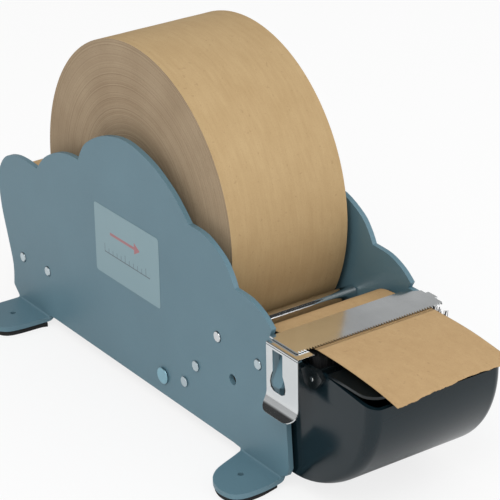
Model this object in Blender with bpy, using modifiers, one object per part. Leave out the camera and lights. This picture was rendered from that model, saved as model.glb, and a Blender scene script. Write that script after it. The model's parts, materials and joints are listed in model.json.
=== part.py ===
# Counter dispenser for gummed paper tape, of the pull and tear kind.
# Two scalloped side plates hold the roll in a cradle. The tape climbs over a rear roller,
# passes under the cradle, over the feed drum, under a serrated blade and over a wet brush.
# X points to the front from the roll's axis, Y across to the far plate, Z up from the floor.
import math
import random

import bmesh
import bpy
from mathutils import Matrix, Vector

MM = 0.001

# Clearances
GAP = 0.3 * MM
OVERRUN = 2 * MM
MERGE = 0.01 * MM

# Tape and roll
TAPE_WIDTH = 72 * MM
TAPE_THICKNESS = 0.5 * MM
TAPE_SIDE_SHIFT = 1 * MM
ROLL_RADIUS = 87.7 * MM
ROLL_EDGE = 0.6 * MM
CORE_RADIUS = 19 * MM
CORE_BORE_RADIUS = 16 * MM
ROLL_AXIS_HEIGHT = 103 * MM

# Frame
PLATE_SPACING = 83.1 * MM
PLATE_THICKNESS = 2.8 * MM
PLATE_LENGTH = 278.7 * MM
PLATE_HEIGHT = 134.7 * MM
PLATE_REAR = 131.9 * MM
PLATE_BOTTOM = 7.5 * MM
FRONT_EDGE_RELIEF = 2.1 * MM
SHEET = 1.5 * MM

# Feet
PAD_THICKNESS = 3 * MM
PAD_INSET = 1.2 * MM
FOOT_REACH = 30.6 * MM
FOOT_BEND_RADIUS = 1 * MM
FRONT_FOOT_START = 105 * MM
FRONT_FOOT_LENGTH = 36 * MM
FRONT_FOOT_HOLE = 20.3 * MM
REAR_FOOT_START = -116.5 * MM
REAR_FOOT_LENGTH = 34.5 * MM
REAR_FOOT_HOLE = 17 * MM
FOOT_HOLE_RADIUS = 1.6 * MM
FOOT_HOLE_OUT = 14 * MM

# Axles, rods and rivets, each by its centre ahead of the roll's axis and above the floor
AXLE_RADIUS = 2.85 * MM
AXLE_HEAD = 0.7 * MM
REAR_TOP_AXLE = (-109 * MM, 72.8 * MM)
REAR_TOP_ROLLER_RADIUS = 14.8 * MM
REAR_LOWER_AXLE = (-108.8 * MM, 33.7 * MM)
REAR_LOWER_ROLLER_RADIUS = 14.5 * MM
DRUM_AXLE = (121.7 * MM, 61.5 * MM)
DRUM_RADIUS = 15.5 * MM
DRUM_GROOVES = 7
DRUM_GROOVE_DEPTH = 0.8 * MM
STOP_ROD = (86.9 * MM, 62.6 * MM)
STOP_ROD_RADIUS = 3.8 * MM
PAN_ROD = (-81.6 * MM, 35 * MM)
PAN_RIVET = (35.6 * MM, 19 * MM)
RIVET_SHANK_RADIUS = 2 * MM
PAN_RIVET_HEAD_RADIUS = 4.7 * MM
PAN_RIVET_HEAD = 1.1 * MM
BRACKET_RIVET_HIGH = (66.9 * MM, 37.7 * MM)
BRACKET_RIVET_LOW = (55.9 * MM, 24 * MM)
SPARE_HOLE = (99.5 * MM, 43.6 * MM)
SPARE_HOLE_RADIUS = 3 * MM
ROLLER_SIDE_PLAY = 2.6 * MM
BUSH_RADIUS = 7 * MM
BUSH_LENGTH = 2 * MM

# Cradle pan under the roll
PAN_SLOPE = 3.43 * math.pi / 180
PAN_REAR = -92 * MM
PAN_FRONT = 60 * MM
PAN_HEM_RADIUS = 3 * MM
PAN_REAR_LIP = 9 * MM
PAN_CHEEK_MARGIN = 6.5 * MM

# Roll stop
STOP_HEM = (58.7 * MM, 33.2 * MM)
STOP_HEM_RADIUS = 3.2 * MM
STOP_SHEET_TOP = (80.2 * MM, 58.2 * MM)
STOP_SHEET_OFFSET = 2.4 * MM
STOP_CHEEK_MARGIN = 5.5 * MM

# Blade and its clip
BLADE_TOP = 83 * MM
BLADE_THICKNESS = 0.8 * MM
BLADE_BACK = 134.6 * MM
BLADE_FRONT = 157 * MM
BLADE_LEFT = 46.2 * MM
BLADE_RIGHT = 43.6 * MM
TOOTH_PITCH = 1.6 * MM
TOOTH_DEPTH = 1.3 * MM
BLADE_CORNER = 5 * MM
HOOK_BACK = 143 * MM
HOOK_FRONT = 150 * MM
HOOK_REACH = 1.4 * MM
HOOK_DROP = 4 * MM
CLIP_THICKNESS = 0.8 * MM
CLIP_BACK = 138.5 * MM
CLIP_FRONT = 163 * MM
CLIP_OUTER = 50.5 * MM
BRACKET_INNER = 39.5 * MM
CLIP_BEND_HEIGHT = 52.4 * MM
CLIP_BEND_RADIUS = 8 * MM
CLIP_BEND_ANGLE = 50 * math.pi / 180
CLIP_LIP = 3.4 * MM
CLIP_CORNER = 6.5 * MM
WINDOW_BACK = 141.7 * MM
WINDOW_FRONT = 153.7 * MM
WINDOW_TOP = 77.4 * MM
WINDOW_BOTTOM = 53.2 * MM
WINDOW_NECK_SHARE = 0.2

# Catch tab on the near plate, under the blade's clip
NOSE_FRONT = 154.5 * MM
NOSE_DEPTH = 5 * MM
TAB_BACK = 142.7 * MM
TAB_FRONT = 152.4 * MM
TAB_LENGTH = 20.6 * MM
TAB_ANGLE = 22.5 * math.pi / 180
TAB_BEND_RADIUS = 1 * MM
TAB_RELIEF = 3 * MM
TAB_CORNER = 2 * MM

# Water tank
TANK_CENTRE = (143 * MM, 68.5 * MM)
TANK_HALF_WIDTH = 40 * MM
TANK_SIDE_RADIUS = 59 * MM
TANK_FRONT_REACH = 64.5 * MM
TANK_DEPTH = 59.6 * MM
TANK_CORNER = 6 * MM
TANK_BACK = 141.3 * MM
TANK_RIM = 74.4 * MM
TANK_RIM_BREAK = 173 * MM
TANK_RIM_SLOPE = 0.108
TANK_WALL = 2.2 * MM
TANK_ARC_STEPS = 14
TANK_CORNER_STEPS = 4

# Tank carrier
CARRIER_BACK = 138.4 * MM
CARRIER_TOP = 72 * MM
CARRIER_CHEEK_BACK = 112 * MM
CARRIER_CHEEK_BOTTOM = 40 * MM
SLIDE_SLOPE = 5.5 * math.pi / 180
SHELF_FRONT = 147.6 * MM
SHELF_HALF_WIDTH = 30 * MM
DRAIN_SLOT = 24 * MM

# Brush and its holder
HOLDER_BACK = 149.3 * MM
HOLDER_FRONT = 167.7 * MM
HOLDER_FLOOR = 57 * MM
HOLDER_REAR_WALL = 9 * MM
HOLDER_TOP = 76.2 * MM
EAR_PIN = (164.4 * MM, 71.2 * MM)
EAR_PIN_RADIUS = 1.15 * MM
EAR_PIN_HEAD = 0.5 * MM
EAR_BACK = 155.4 * MM
EAR_LENGTH = 16.4 * MM
EAR_BOTTOM = 65.6 * MM
EAR_HEIGHT = 10.9 * MM
EAR_THICKNESS = 2.7 * MM
BRUSH_COLUMNS = 44
BRUSH_ROWS = 8
BRUSH_BLOCK = 4 * MM
BRISTLE_INSET = 0.5 * MM
BRISTLE_LEAN = 0.22 * MM
BRISTLE_TIP_SHARE = 0.7

# Lid
LID_HINGE = (170 * MM, 74.8 * MM)
LID_BACK = 172.7 * MM
LID_FRONT = 205.5 * MM
LID_THICKNESS = 1.5 * MM
LID_CORNER = 9 * MM
LID_BARREL_RADIUS = 1.9 * MM
LID_PIN_RADIUS = 0.9 * MM
LID_BARREL_HALF = 24 * MM
LUG_WIDTH = 3 * MM

# Free end of the tape
TAPE_END_FRONT = 217 * MM
TAPE_BEND_START = 170 * MM
TAPE_DROOP = 4 * MM
TEAR_DEPTH = 4 * MM

# Label
LABEL_BACK = -27.5 * MM
LABEL_FRONT = 34.8 * MM
LABEL_BOTTOM = 57.2 * MM
LABEL_TOP = 97.2 * MM
LABEL_THICKNESS = 0.4 * MM
LABEL_CORNER = 2 * MM

# The plates' top edge from rear to front, lobe by lobe, in shares of length and height
LOBE_SHARES = [
    [(0.037, 0.034), (0.039, 0.130), (0.023, 0.249), (0.005, 0.375), (0.000, 0.483),
     (0.008, 0.557), (0.034, 0.620), (0.071, 0.650), (0.112, 0.658), (0.159, 0.652)],
    [(0.159, 0.652), (0.192, 0.724), (0.239, 0.777), (0.283, 0.800), (0.323, 0.804)],
    [(0.323, 0.804), (0.332, 0.843), (0.356, 0.900), (0.416, 0.967), (0.496, 1.000),
     (0.580, 0.967), (0.643, 0.902), (0.678, 0.846), (0.700, 0.803)],
    [(0.700, 0.803), (0.753, 0.797), (0.805, 0.748), (0.829, 0.697), (0.842, 0.651)],
    [(0.842, 0.651), (0.889, 0.645), (0.927, 0.616), (0.953, 0.577)],
]
# Front edge below the blade, in the same shares
FRONT_EDGE_SHARES = [(0.993, 0.24), (1.000, 0.045), (0.992, 0.012)]
# Feet, from rear to front: along the foot, and out from the bend to the tip
FRONT_FOOT_SHARES = [
    (0.00, 0.00), (0.03, 0.10), (0.075, 0.22), (0.13, 0.38), (0.19, 0.56), (0.26, 0.72),
    (0.37, 0.86), (0.50, 0.95), (0.66, 1.00), (0.82, 0.99), (0.95, 0.93), (1.02, 0.80),
    (1.04, 0.60), (1.03, 0.35), (0.99, 0.12), (0.97, 0.00)]
REAR_FOOT_SHARES = [
    (0.00, 0.00), (0.03, 0.12), (0.03, 0.40), (0.03, 0.68), (0.09, 0.86), (0.22, 0.97),
    (0.40, 1.00), (0.60, 1.00), (0.78, 0.97), (0.90, 0.86), (0.95, 0.68), (0.97, 0.40),
    (0.98, 0.12), (1.02, 0.00)]
# The ear's outline, in shares of its length and height
EAR_SHARES = [
    (0.00, 0.68), (0.24, 0.96), (0.30, 1.00), (0.72, 1.00), (0.80, 0.96), (1.00, 0.74),
    (0.98, 0.62), (0.70, 0.12), (0.55, 0.00), (0.36, 0.00), (0.18, 0.12)]
# The torn edge from the near side to the far side: across the tape, and ahead of its line
TEAR_SHARES = [
    (0.00, 1.00), (0.05, 0.78), (0.11, 0.60), (0.15, 0.55), (0.20, 0.36), (0.27, 0.30),
    (0.31, 0.16), (0.36, 0.20), (0.42, 0.04), (0.47, 0.06), (0.52, -0.10), (0.57, -0.12),
    (0.61, -0.24), (0.66, -0.12), (0.71, -0.20), (0.77, -0.02), (0.82, -0.10), (0.88, 0.10),
    (0.94, 0.06), (1.00, 0.22)]

INNER = PLATE_SPACING / 2
OUTER = INNER + PLATE_THICKNESS
SHEET_HALF_WIDTH = INNER - GAP
BLADE_BOTTOM = BLADE_TOP - BLADE_THICKNESS
BRACKET_TOP = BLADE_BOTTOM - GAP
LEFT_SHELF = BRACKET_TOP - CLIP_THICKNESS - GAP
RIGHT_SHELF = BLADE_BOTTOM - GAP
FLANGE_BOTTOM = PAD_THICKNESS + GAP
FOOT_BEND_LINE = FLANGE_BOTTOM + PLATE_THICKNESS + FOOT_BEND_RADIUS
TEAR_LINE = BLADE_FRONT + GAP
TAPE_END_REACH = TAPE_END_FRONT + TEAR_DEPTH
MIDDLE_AHEAD_OF_ROLL = (TAPE_END_REACH - PLATE_REAR) / 2
LEFT, RIGHT = -1, 1
SIDES = ((LEFT, "left"), (RIGHT, "right"))

for old in list(bpy.data.objects):
    bpy.data.objects.remove(old, do_unlink=True)
scene = bpy.context.scene
parts = bpy.data.collections.new("paper_tape_dispenser")
cutters = bpy.data.collections.new("cutters")
scene.collection.children.link(parts)
scene.collection.children.link(cutters)


def material(name, colour, roughness, metallic):
    made = bpy.data.materials.new(name)
    made.use_nodes = True
    shader = made.node_tree.nodes["Principled BSDF"]
    shader.inputs["Base Color"].default_value = (*colour, 1)
    shader.inputs["Roughness"].default_value = roughness
    shader.inputs["Metallic"].default_value = metallic
    return made


PAINT = material("blue_grey_paint", (0.14, 0.23, 0.26), 0.45, 0.0)
ZINC = material("zinc_plate", (0.55, 0.58, 0.60), 0.35, 1.0)
CHROME = material("chrome", (0.80, 0.80, 0.80), 0.08, 1.0)
STEEL = material("polished_steel", (0.70, 0.71, 0.72), 0.15, 1.0)
KRAFT = material("kraft_paper", (0.54, 0.37, 0.20), 0.70, 0.0)
CARD = material("core_card", (0.35, 0.25, 0.16), 0.80, 0.0)
BLACK_PLASTIC = material("black_plastic", (0.02, 0.024, 0.027), 0.20, 0.0)
BRISTLE = material("black_bristle", (0.012, 0.012, 0.012), 0.50, 0.0)
NYLON = material("white_nylon", (0.70, 0.70, 0.66), 0.45, 0.0)
RUBBER = material("black_rubber", (0.02, 0.02, 0.02), 0.80, 0.0)
LABEL = material("label_film", (0.20, 0.31, 0.35), 0.40, 0.0)


def empty(name, x, z, parent=None):
    made = bpy.data.objects.new(name, None)
    made.location = (x, 0, z)
    made.parent = parent
    parts.objects.link(made)
    return made


# The origin lies on the floor under the middle of the whole object
machine = empty("machine", -MIDDLE_AHEAD_OF_ROLL, 0)
roll_axis = empty("roll_axis", 0, ROLL_AXIS_HEIGHT, machine)
rear_top_axis = empty("rear_top_axis", *REAR_TOP_AXLE, machine)
rear_lower_axis = empty("rear_lower_axis", *REAR_LOWER_AXLE, machine)
drum_axis = empty("drum_axis", *DRUM_AXLE, machine)
clip_axis = empty("clip_axis", CLIP_BACK, BRACKET_TOP, machine)
clip_axis.location.y = -CLIP_OUTER + CLIP_THICKNESS
tank_slide = empty("tank_slide", *TANK_CENTRE, machine)
lid_axis = empty("lid_axis", LID_HINGE[0] - TANK_CENTRE[0], LID_HINGE[1] - TANK_CENTRE[1], tank_slide)
tape_end_axis = empty("tape_end_axis", TEAR_LINE, BLADE_BOTTOM, machine)


def place_of(carrier):
    place = Vector()
    while carrier is not machine:
        place += carrier.location
        carrier = carrier.parent
    return place


def piece(name, bm, finish, carrier=machine, collection=parts):
    bm.normal_update()
    bmesh.ops.recalc_face_normals(bm, faces=bm.faces[:])
    bm.transform(Matrix.Translation(-place_of(carrier)))
    mesh = bpy.data.meshes.new(name)
    bm.to_mesh(mesh)
    bm.free()
    if finish:
        mesh.materials.append(finish)
    mesh.shade_smooth()
    mesh.set_sharp_from_angle(angle=math.radians(35))
    made = bpy.data.objects.new(name, mesh)
    made.parent = carrier
    collection.objects.link(made)
    return made


def boolean(target, tool, operation):
    tool.hide_render = True
    tool.display_type = "WIRE"
    step = target.modifiers.new(tool.name, "BOOLEAN")
    step.operation = operation
    step.solver = "EXACT"
    step.object = tool


def cutter(name, bm, carrier=machine):
    return piece(name, bm, None, carrier, cutters)


# A flat outline with its holes, filled and thickened by a curve, then made a mesh.
# Its own axes are u, v and the thickness, which turn maps to the machine's axes.
def flat(loops, thickness, turn, low=0):
    curve = bpy.data.curves.new("outline", "CURVE")
    curve.dimensions = "2D"
    curve.fill_mode = "BOTH"
    curve.extrude = thickness / 2
    for loop in loops:
        spline = curve.splines.new("POLY")
        spline.points.add(len(loop) - 1)
        for point, (u, v) in zip(spline.points, loop):
            point.co = (u, v, 0, 1)
        spline.use_cyclic_u = True
    holder = bpy.data.objects.new("outline", curve)
    scene.collection.objects.link(holder)
    bpy.context.view_layer.update()
    graph = bpy.context.evaluated_depsgraph_get()
    mesh = bpy.data.meshes.new_from_object(holder.evaluated_get(graph))
    bpy.data.objects.remove(holder, do_unlink=True)
    bm = bmesh.new()
    bm.from_mesh(mesh)
    bpy.data.meshes.remove(mesh)
    bmesh.ops.remove_doubles(bm, verts=bm.verts[:], dist=MERGE)
    bm.transform(Matrix.Translation((0, 0, low + thickness / 2)))
    bm.transform(turn)
    return bm


# u along X, v up, thickness along Y
UPRIGHT = Matrix(((1, 0, 0, 0), (0, 0, 1, 0), (0, 1, 0, 0), (0, 0, 0, 1)))
# u along X, v along Y, thickness up
LEVEL = Matrix.Identity(4)
# u along Y, v up, thickness along X
CROSSWISE = Matrix(((0, 0, 1, 0), (1, 0, 0, 0), (0, 1, 0, 0), (0, 0, 0, 1)))


def circle(centre, radius, count=16):
    turns = [2 * math.pi * index / count for index in range(count)]
    return [(centre[0] + radius * math.cos(turn), centre[1] + radius * math.sin(turn)) for turn in turns]


def arc(centre, radius, first, last, count):
    turns = [first + (last - first) * index / count for index in range(count + 1)]
    return [(centre[0] + radius * math.cos(turn), centre[1] + radius * math.sin(turn)) for turn in turns]


# A Catmull-Rom run through the points, which stay on it
def smooth_run(points, count=4):
    run = []
    ends = [points[0], *points, points[-1]]
    for before, start, end, after in zip(ends, ends[1:], ends[2:], ends[3:]):
        for index in range(count):
            t = index / count
            run.append(tuple(
                (2 * b + (c - a) * t + (2 * a - 5 * b + 4 * c - d) * t ** 2
                 + (3 * b - a - 3 * c + d) * t ** 3) / 2
                for a, b, c, d in zip(before, start, end, after)))
    return run + [points[-1]]


def rounded(corners, radius, count=4):
    outline = []
    for index, corner in enumerate(corners):
        here = Vector(corner)
        back = (Vector(corners[index - 1]) - here).normalized() * radius
        ahead = (Vector(corners[(index + 1) % len(corners)]) - here).normalized() * radius
        for step in range(count + 1):
            t = step / count
            point = here + back * (1 - t) ** 2 + ahead * t ** 2
            outline.append((point.x, point.y))
    return outline


# A turned piece along Y: its profile is (radius, place along Y), the outer side first from +Y
def turned(name, profile, finish, centre, carrier=machine, closed=False, steps=32, collection=parts):
    mesh = bpy.data.meshes.new(name)
    count = len(profile)
    edges = [(index, index + 1) for index in range(count - 1)]
    if closed:
        edges.append((count - 1, 0))
    mesh.from_pydata([(radius, 0, along) for radius, along in profile], edges, [])
    if finish:
        mesh.materials.append(finish)
    made = bpy.data.objects.new(name, mesh)
    made.parent = carrier
    made.location = Vector((centre[0], 0, centre[1])) - place_of(carrier)
    made.location.y = 0
    made.rotation_euler = (-math.pi / 2, 0, 0)
    collection.objects.link(made)
    screw = made.modifiers.new("turn", "SCREW")
    screw.steps = steps
    screw.render_steps = steps
    screw.use_merge_vertices = True
    screw.merge_threshold = MERGE
    screw.use_smooth_shade = True
    return made


def rod(name, centre, half_length, radius, finish, end_radius=0, end_half_length=0, carrier=machine):
    profile = [(0, half_length), (radius, half_length), (radius, -half_length), (0, -half_length)]
    if end_radius:
        profile = [(0, end_half_length), (end_radius, end_half_length), (end_radius, half_length),
                   *profile[1:3], (end_radius, -half_length), (end_radius, -end_half_length),
                   (0, -end_half_length)]
    return turned(name, profile, finish, centre, carrier, steps=20)


def ring(name, centre, inner, outer, half_length, finish, carrier=machine, edge=0, steps=32, shift=0):
    profile = [(inner, shift + half_length), (outer - edge, shift + half_length)]
    if edge:
        profile.append((outer, shift + half_length - edge))
        profile.append((outer, shift - half_length + edge))
    profile += [(outer - edge, shift - half_length), (inner, shift - half_length)]
    return turned(name, profile, finish, centre, carrier, closed=True, steps=steps)


# Bends a sheet about a level line, away from its inner face at y = 0
def bend(bm, line, radius, angle, thickness, steps, chosen):
    middle = radius + thickness / 2
    for step in range(steps + 1):
        level = line - middle * angle * step / steps
        near = [face for face in bm.faces if any(chosen(vert.co) for vert in face.verts)]
        found = set(near)
        for face in near:
            found.update(face.verts)
            found.update(face.edges)
        bmesh.ops.bisect_plane(bm, geom=list(found), dist=MERGE, plane_co=(0, 0, level), plane_no=(0, 0, 1))
    centre = thickness + radius
    for vert in bm.verts:
        if not chosen(vert.co):
            continue
        run = line - vert.co.z
        turn = min(run / middle, angle)
        rest = max(run - middle * angle, 0)
        depth = centre - vert.co.y
        vert.co.y = centre - depth * math.cos(turn) + rest * math.sin(turn)
        vert.co.z = line - depth * math.sin(turn) - rest * math.cos(turn)


def to_side(bm, side, inner_face):
    for vert in bm.verts:
        vert.co.y = side * (inner_face + vert.co.y)


def plate_point(share):
    return (-PLATE_REAR + share[0] * PLATE_LENGTH, PLATE_BOTTOM + share[1] * PLATE_HEIGHT)


def foot_run(start, length, shares):
    developed = (FOOT_BEND_RADIUS + PLATE_THICKNESS / 2) * math.pi / 2 + FOOT_REACH - FOOT_BEND_RADIUS
    corners = [(start + along * length, FOOT_BEND_LINE - out * developed) for along, out in shares]
    return smooth_run(corners, 3)


def catch_tab():
    lintel = LEFT_SHELF - NOSE_DEPTH
    tip = lintel - TAB_LENGTH
    return [
        (NOSE_FRONT, LEFT_SHELF), (NOSE_FRONT, lintel), (TAB_FRONT, lintel),
        (TAB_FRONT, tip + TAB_CORNER), (TAB_FRONT - TAB_CORNER, tip), (TAB_BACK + TAB_CORNER, tip),
        (TAB_BACK, tip + TAB_CORNER), (TAB_BACK, lintel), (TAB_BACK - TAB_RELIEF, lintel),
        (TAB_BACK - TAB_RELIEF, tip - TAB_RELIEF), (CLIP_BACK + FRONT_EDGE_RELIEF + TAB_RELIEF, tip - 2 * TAB_RELIEF),
    ]


# A side plate is cut flat with its feet unfolded, then its feet and catch tab are bent out
def side_plate(name, side):
    shelf = LEFT_SHELF if side == LEFT else RIGHT_SHELF
    outline = []
    for shares in LOBE_SHARES:
        outline += smooth_run([plate_point(share) for share in shares])[:-1]
    outline.append(plate_point(LOBE_SHARES[-1][-1]))
    outline.append((BLADE_BACK - BLADE_CORNER + FRONT_EDGE_RELIEF, shelf))
    if side == LEFT:
        outline += catch_tab()
    else:
        outline.append((CLIP_BACK + FRONT_EDGE_RELIEF + TAB_RELIEF, shelf))
    outline += [plate_point(share) for share in FRONT_EDGE_SHARES]
    outline += reversed(foot_run(FRONT_FOOT_START, FRONT_FOOT_LENGTH, FRONT_FOOT_SHARES))
    outline.append((FRONT_FOOT_START - 2 * PAD_THICKNESS, PLATE_BOTTOM))
    outline.append((REAR_FOOT_START + REAR_FOOT_LENGTH + 2 * PAD_THICKNESS, PLATE_BOTTOM))
    outline += reversed(foot_run(REAR_FOOT_START, REAR_FOOT_LENGTH, REAR_FOOT_SHARES))
    holes = [circle(centre, AXLE_RADIUS + GAP, 12) for centre in (REAR_LOWER_AXLE, DRUM_AXLE, STOP_ROD, PAN_ROD)]
    for centre in (PAN_RIVET, BRACKET_RIVET_HIGH, BRACKET_RIVET_LOW):
        holes.append(circle(centre, RIVET_SHANK_RADIUS + GAP, 10))
    holes.append(circle(SPARE_HOLE, SPARE_HOLE_RADIUS, 12))
    for along in (FRONT_FOOT_START + FRONT_FOOT_HOLE, REAR_FOOT_START + REAR_FOOT_HOLE):
        centre = (along, FOOT_BEND_LINE - PLATE_THICKNESS - FOOT_HOLE_OUT)
        holes.append(circle(centre, FOOT_HOLE_RADIUS, 10))
    bm = flat([outline, *holes], PLATE_THICKNESS, UPRIGHT)
    bend(bm, FOOT_BEND_LINE, FOOT_BEND_RADIUS, math.pi / 2, PLATE_THICKNESS, 4,
         lambda co: co.z < FOOT_BEND_LINE - MERGE)
    if side == LEFT:
        lintel = LEFT_SHELF - NOSE_DEPTH
        bend(bm, lintel, TAB_BEND_RADIUS, TAB_ANGLE, PLATE_THICKNESS, 2,
             lambda co: co.x > TAB_BACK - MERGE and lintel - TAB_LENGTH - MERGE < co.z < lintel - MERGE)
    to_side(bm, side, INNER)
    return piece(name, bm, PAINT)


def rubber_pad(name, side, start, length, shares):
    middle = start + length / 2
    shrink = 1 - 2 * PAD_INSET / length
    root = OUTER + PAD_INSET
    reach = FOOT_REACH - 2 * PAD_INSET
    run = [(middle + (along - 0.5) * length * shrink, side * (root + out * reach)) for along, out in shares]
    return piece(name, flat([smooth_run(run, 2)], PAD_THICKNESS, LEVEL), RUBBER)


def pan_height(x):
    return ROLL_AXIS_HEIGHT - (ROLL_RADIUS + GAP) / math.cos(PAN_SLOPE) - x * math.tan(PAN_SLOPE)


def pan_hem():
    return (PAN_FRONT, pan_height(PAN_FRONT) - SHEET / math.cos(PAN_SLOPE) + PAN_HEM_RADIUS)


# The pan is a sheet with a rolled front hem, a turned-up rear lip and two cheeks
def base_pan():
    hem = pan_hem()
    front = hem[0] - PAN_HEM_RADIUS
    floor_run = [
        (PAN_REAR, pan_height(PAN_REAR) - SHEET), (PAN_REAR, pan_height(PAN_REAR) + PAN_REAR_LIP),
        (PAN_REAR + SHEET, pan_height(PAN_REAR) + PAN_REAR_LIP), (PAN_REAR + SHEET, pan_height(PAN_REAR)),
        (front, pan_height(front))]
    floor_run += arc(hem, PAN_HEM_RADIUS, math.pi * 0.85, -math.pi * 0.5, 12)
    width = 2 * SHEET_HALF_WIDTH
    pan = piece("base_pan", flat([floor_run], width, UPRIGHT, -width / 2), ZINC)
    rear_top = PAN_ROD[1] + PAN_CHEEK_MARGIN
    front_top = PAN_RIVET[1] + PAN_CHEEK_MARGIN
    cheek_front = PAN_RIVET[0] + 2 * PAN_CHEEK_MARGIN
    cheek = [(PAN_REAR, pan_height(PAN_REAR) - SHEET / 2), (PAN_REAR, rear_top),
             (PAN_ROD[0] + PAN_CHEEK_MARGIN, rear_top), (PAN_RIVET[0], front_top),
             (cheek_front, front_top), (cheek_front, pan_height(cheek_front) - SHEET / 2)]
    holes = [circle(PAN_ROD, AXLE_RADIUS + GAP, 12), circle(PAN_RIVET, RIVET_SHANK_RADIUS + GAP, 10)]
    for side, label in SIDES:
        low = SHEET_HALF_WIDTH - SHEET if side == RIGHT else -SHEET_HALF_WIDTH
        boolean(pan, cutter("pan_cheek_" + label, flat([cheek, *holes], SHEET, UPRIGHT, low)), "UNION")
    return pan


# The roll stop is a bent sheet with a rolled lower hem, riveted to both plates by its cheeks
def roll_stop_bracket():
    hem, top = Vector(STOP_HEM), Vector(STOP_SHEET_TOP)
    along = (top - hem).normalized()
    across = Vector((along.y, -along.x)) * SHEET
    start = hem + Vector((-along.y, along.x)) * STOP_SHEET_OFFSET
    sheet = [tuple(start + across), tuple(top + across), tuple(top), tuple(start)]
    width = 2 * SHEET_HALF_WIDTH
    stop = piece("roll_stop_bracket", flat([sheet], width, UPRIGHT, -width / 2), ZINC)
    hem_bar = flat([circle(STOP_HEM, STOP_HEM_RADIUS, 16)], width, UPRIGHT, -width / 2)
    boolean(stop, cutter("stop_hem", hem_bar), "UNION")
    high, low = Vector(BRACKET_RIVET_HIGH), Vector(BRACKET_RIVET_LOW)
    reach = STOP_CHEEK_MARGIN
    cheek = [(low.x - reach, low.y - reach), (low.x + reach, low.y - reach), (high.x + reach, high.y - reach),
             (high.x + 2 * reach, high.y + reach), (high.x + reach, high.y + 2 * reach),
             (hem.x, hem.y + STOP_HEM_RADIUS / 2), (low.x - reach, hem.y - STOP_HEM_RADIUS)]
    holes = [circle(centre, RIVET_SHANK_RADIUS + GAP, 10) for centre in (BRACKET_RIVET_HIGH, BRACKET_RIVET_LOW)]
    for side, label in SIDES:
        low_face = SHEET_HALF_WIDTH - SHEET if side == RIGHT else -SHEET_HALF_WIDTH
        boolean(stop, cutter("stop_cheek_" + label, flat([cheek, *holes], SHEET, UPRIGHT, low_face)), "UNION")
    return stop


# A rivet through the plate and the cheek inside it
def rivet(name, centre, side, head_radius, head):
    inside = SHEET_HALF_WIDTH - SHEET - GAP
    outside = OUTER + GAP
    profile = [(0, outside + head), (head_radius, outside + head), (head_radius, outside),
               (RIVET_SHANK_RADIUS, outside), (RIVET_SHANK_RADIUS, inside), (head_radius, inside),
               (head_radius, inside - head), (0, inside - head)]
    if side == LEFT:
        profile = [(radius, -along) for radius, along in reversed(profile)]
    return turned(name, profile, ZINC, centre, steps=16)


# Where a straight run leaves one circle and meets the next. Radii are positive where the
# run turns anticlockwise in the X and Z view, negative where it turns clockwise.
def tangent(first, first_radius, second, second_radius):
    between = Vector(second) - Vector(first)
    heading = math.atan2(between.y, between.x) + math.asin((first_radius - second_radius) / between.length)
    left = Vector((-math.sin(heading), math.cos(heading)))
    return Vector(first) - left * first_radius, Vector(second) - left * second_radius


def arc_between(centre, start, end, anticlockwise):
    centre = Vector(centre)
    first = math.atan2(start.y - centre.y, start.x - centre.x)
    last = math.atan2(end.y - centre.y, end.x - centre.x)
    if anticlockwise and last < first:
        last += 2 * math.pi
    if not anticlockwise and last > first:
        last -= 2 * math.pi
    count = max(2, round(abs(last - first) * 180 / math.pi / 9))
    return arc(centre, (start - centre).length, first, last, count)


# The tape's middle line, from the roll to the tear line
def tape_route():
    skin = GAP + TAPE_THICKNESS / 2
    stations = [
        ((0, ROLL_AXIS_HEIGHT), -(ROLL_RADIUS + skin)),
        (REAR_TOP_AXLE, REAR_TOP_ROLLER_RADIUS + skin),
        (REAR_LOWER_AXLE, REAR_LOWER_ROLLER_RADIUS + skin),
        (pan_hem(), PAN_HEM_RADIUS + skin),
        (DRUM_AXLE, -(DRUM_RADIUS + skin)),
        ((BLADE_FRONT, BLADE_BOTTOM - skin - GAP), 0),
    ]
    runs = [tangent(*first, *second) for first, second in zip(stations, stations[1:])]
    route = [tuple(runs[0][0])]
    for (centre, radius), run, after in zip(stations[1:-1], runs, runs[1:]):
        route += arc_between(centre, run[1], after[0], radius > 0)
    return route + [tuple(runs[-1][1])]


def tape_web():
    bm = bmesh.new()
    verts = [bm.verts.new((x, TAPE_SIDE_SHIFT - TAPE_WIDTH / 2, z)) for x, z in tape_route()]
    edges = [bm.edges.new(pair) for pair in zip(verts, verts[1:])]
    swept = bmesh.ops.extrude_edge_only(bm, edges=edges)["geom"]
    moved = [item for item in swept if isinstance(item, bmesh.types.BMVert)]
    bmesh.ops.translate(bm, verts=moved, vec=(0, TAPE_WIDTH, 0))
    web = piece("tape_web", bm, KRAFT)
    shell = web.modifiers.new("paper", "SOLIDIFY")
    shell.thickness = TAPE_THICKNESS
    shell.offset = 0
    shell.use_even_offset = True
    return web


def droop(x):
    share = max(0, (x - TAPE_BEND_START) / (TAPE_END_FRONT - TAPE_BEND_START))
    return TAPE_DROOP * share ** 2


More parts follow.
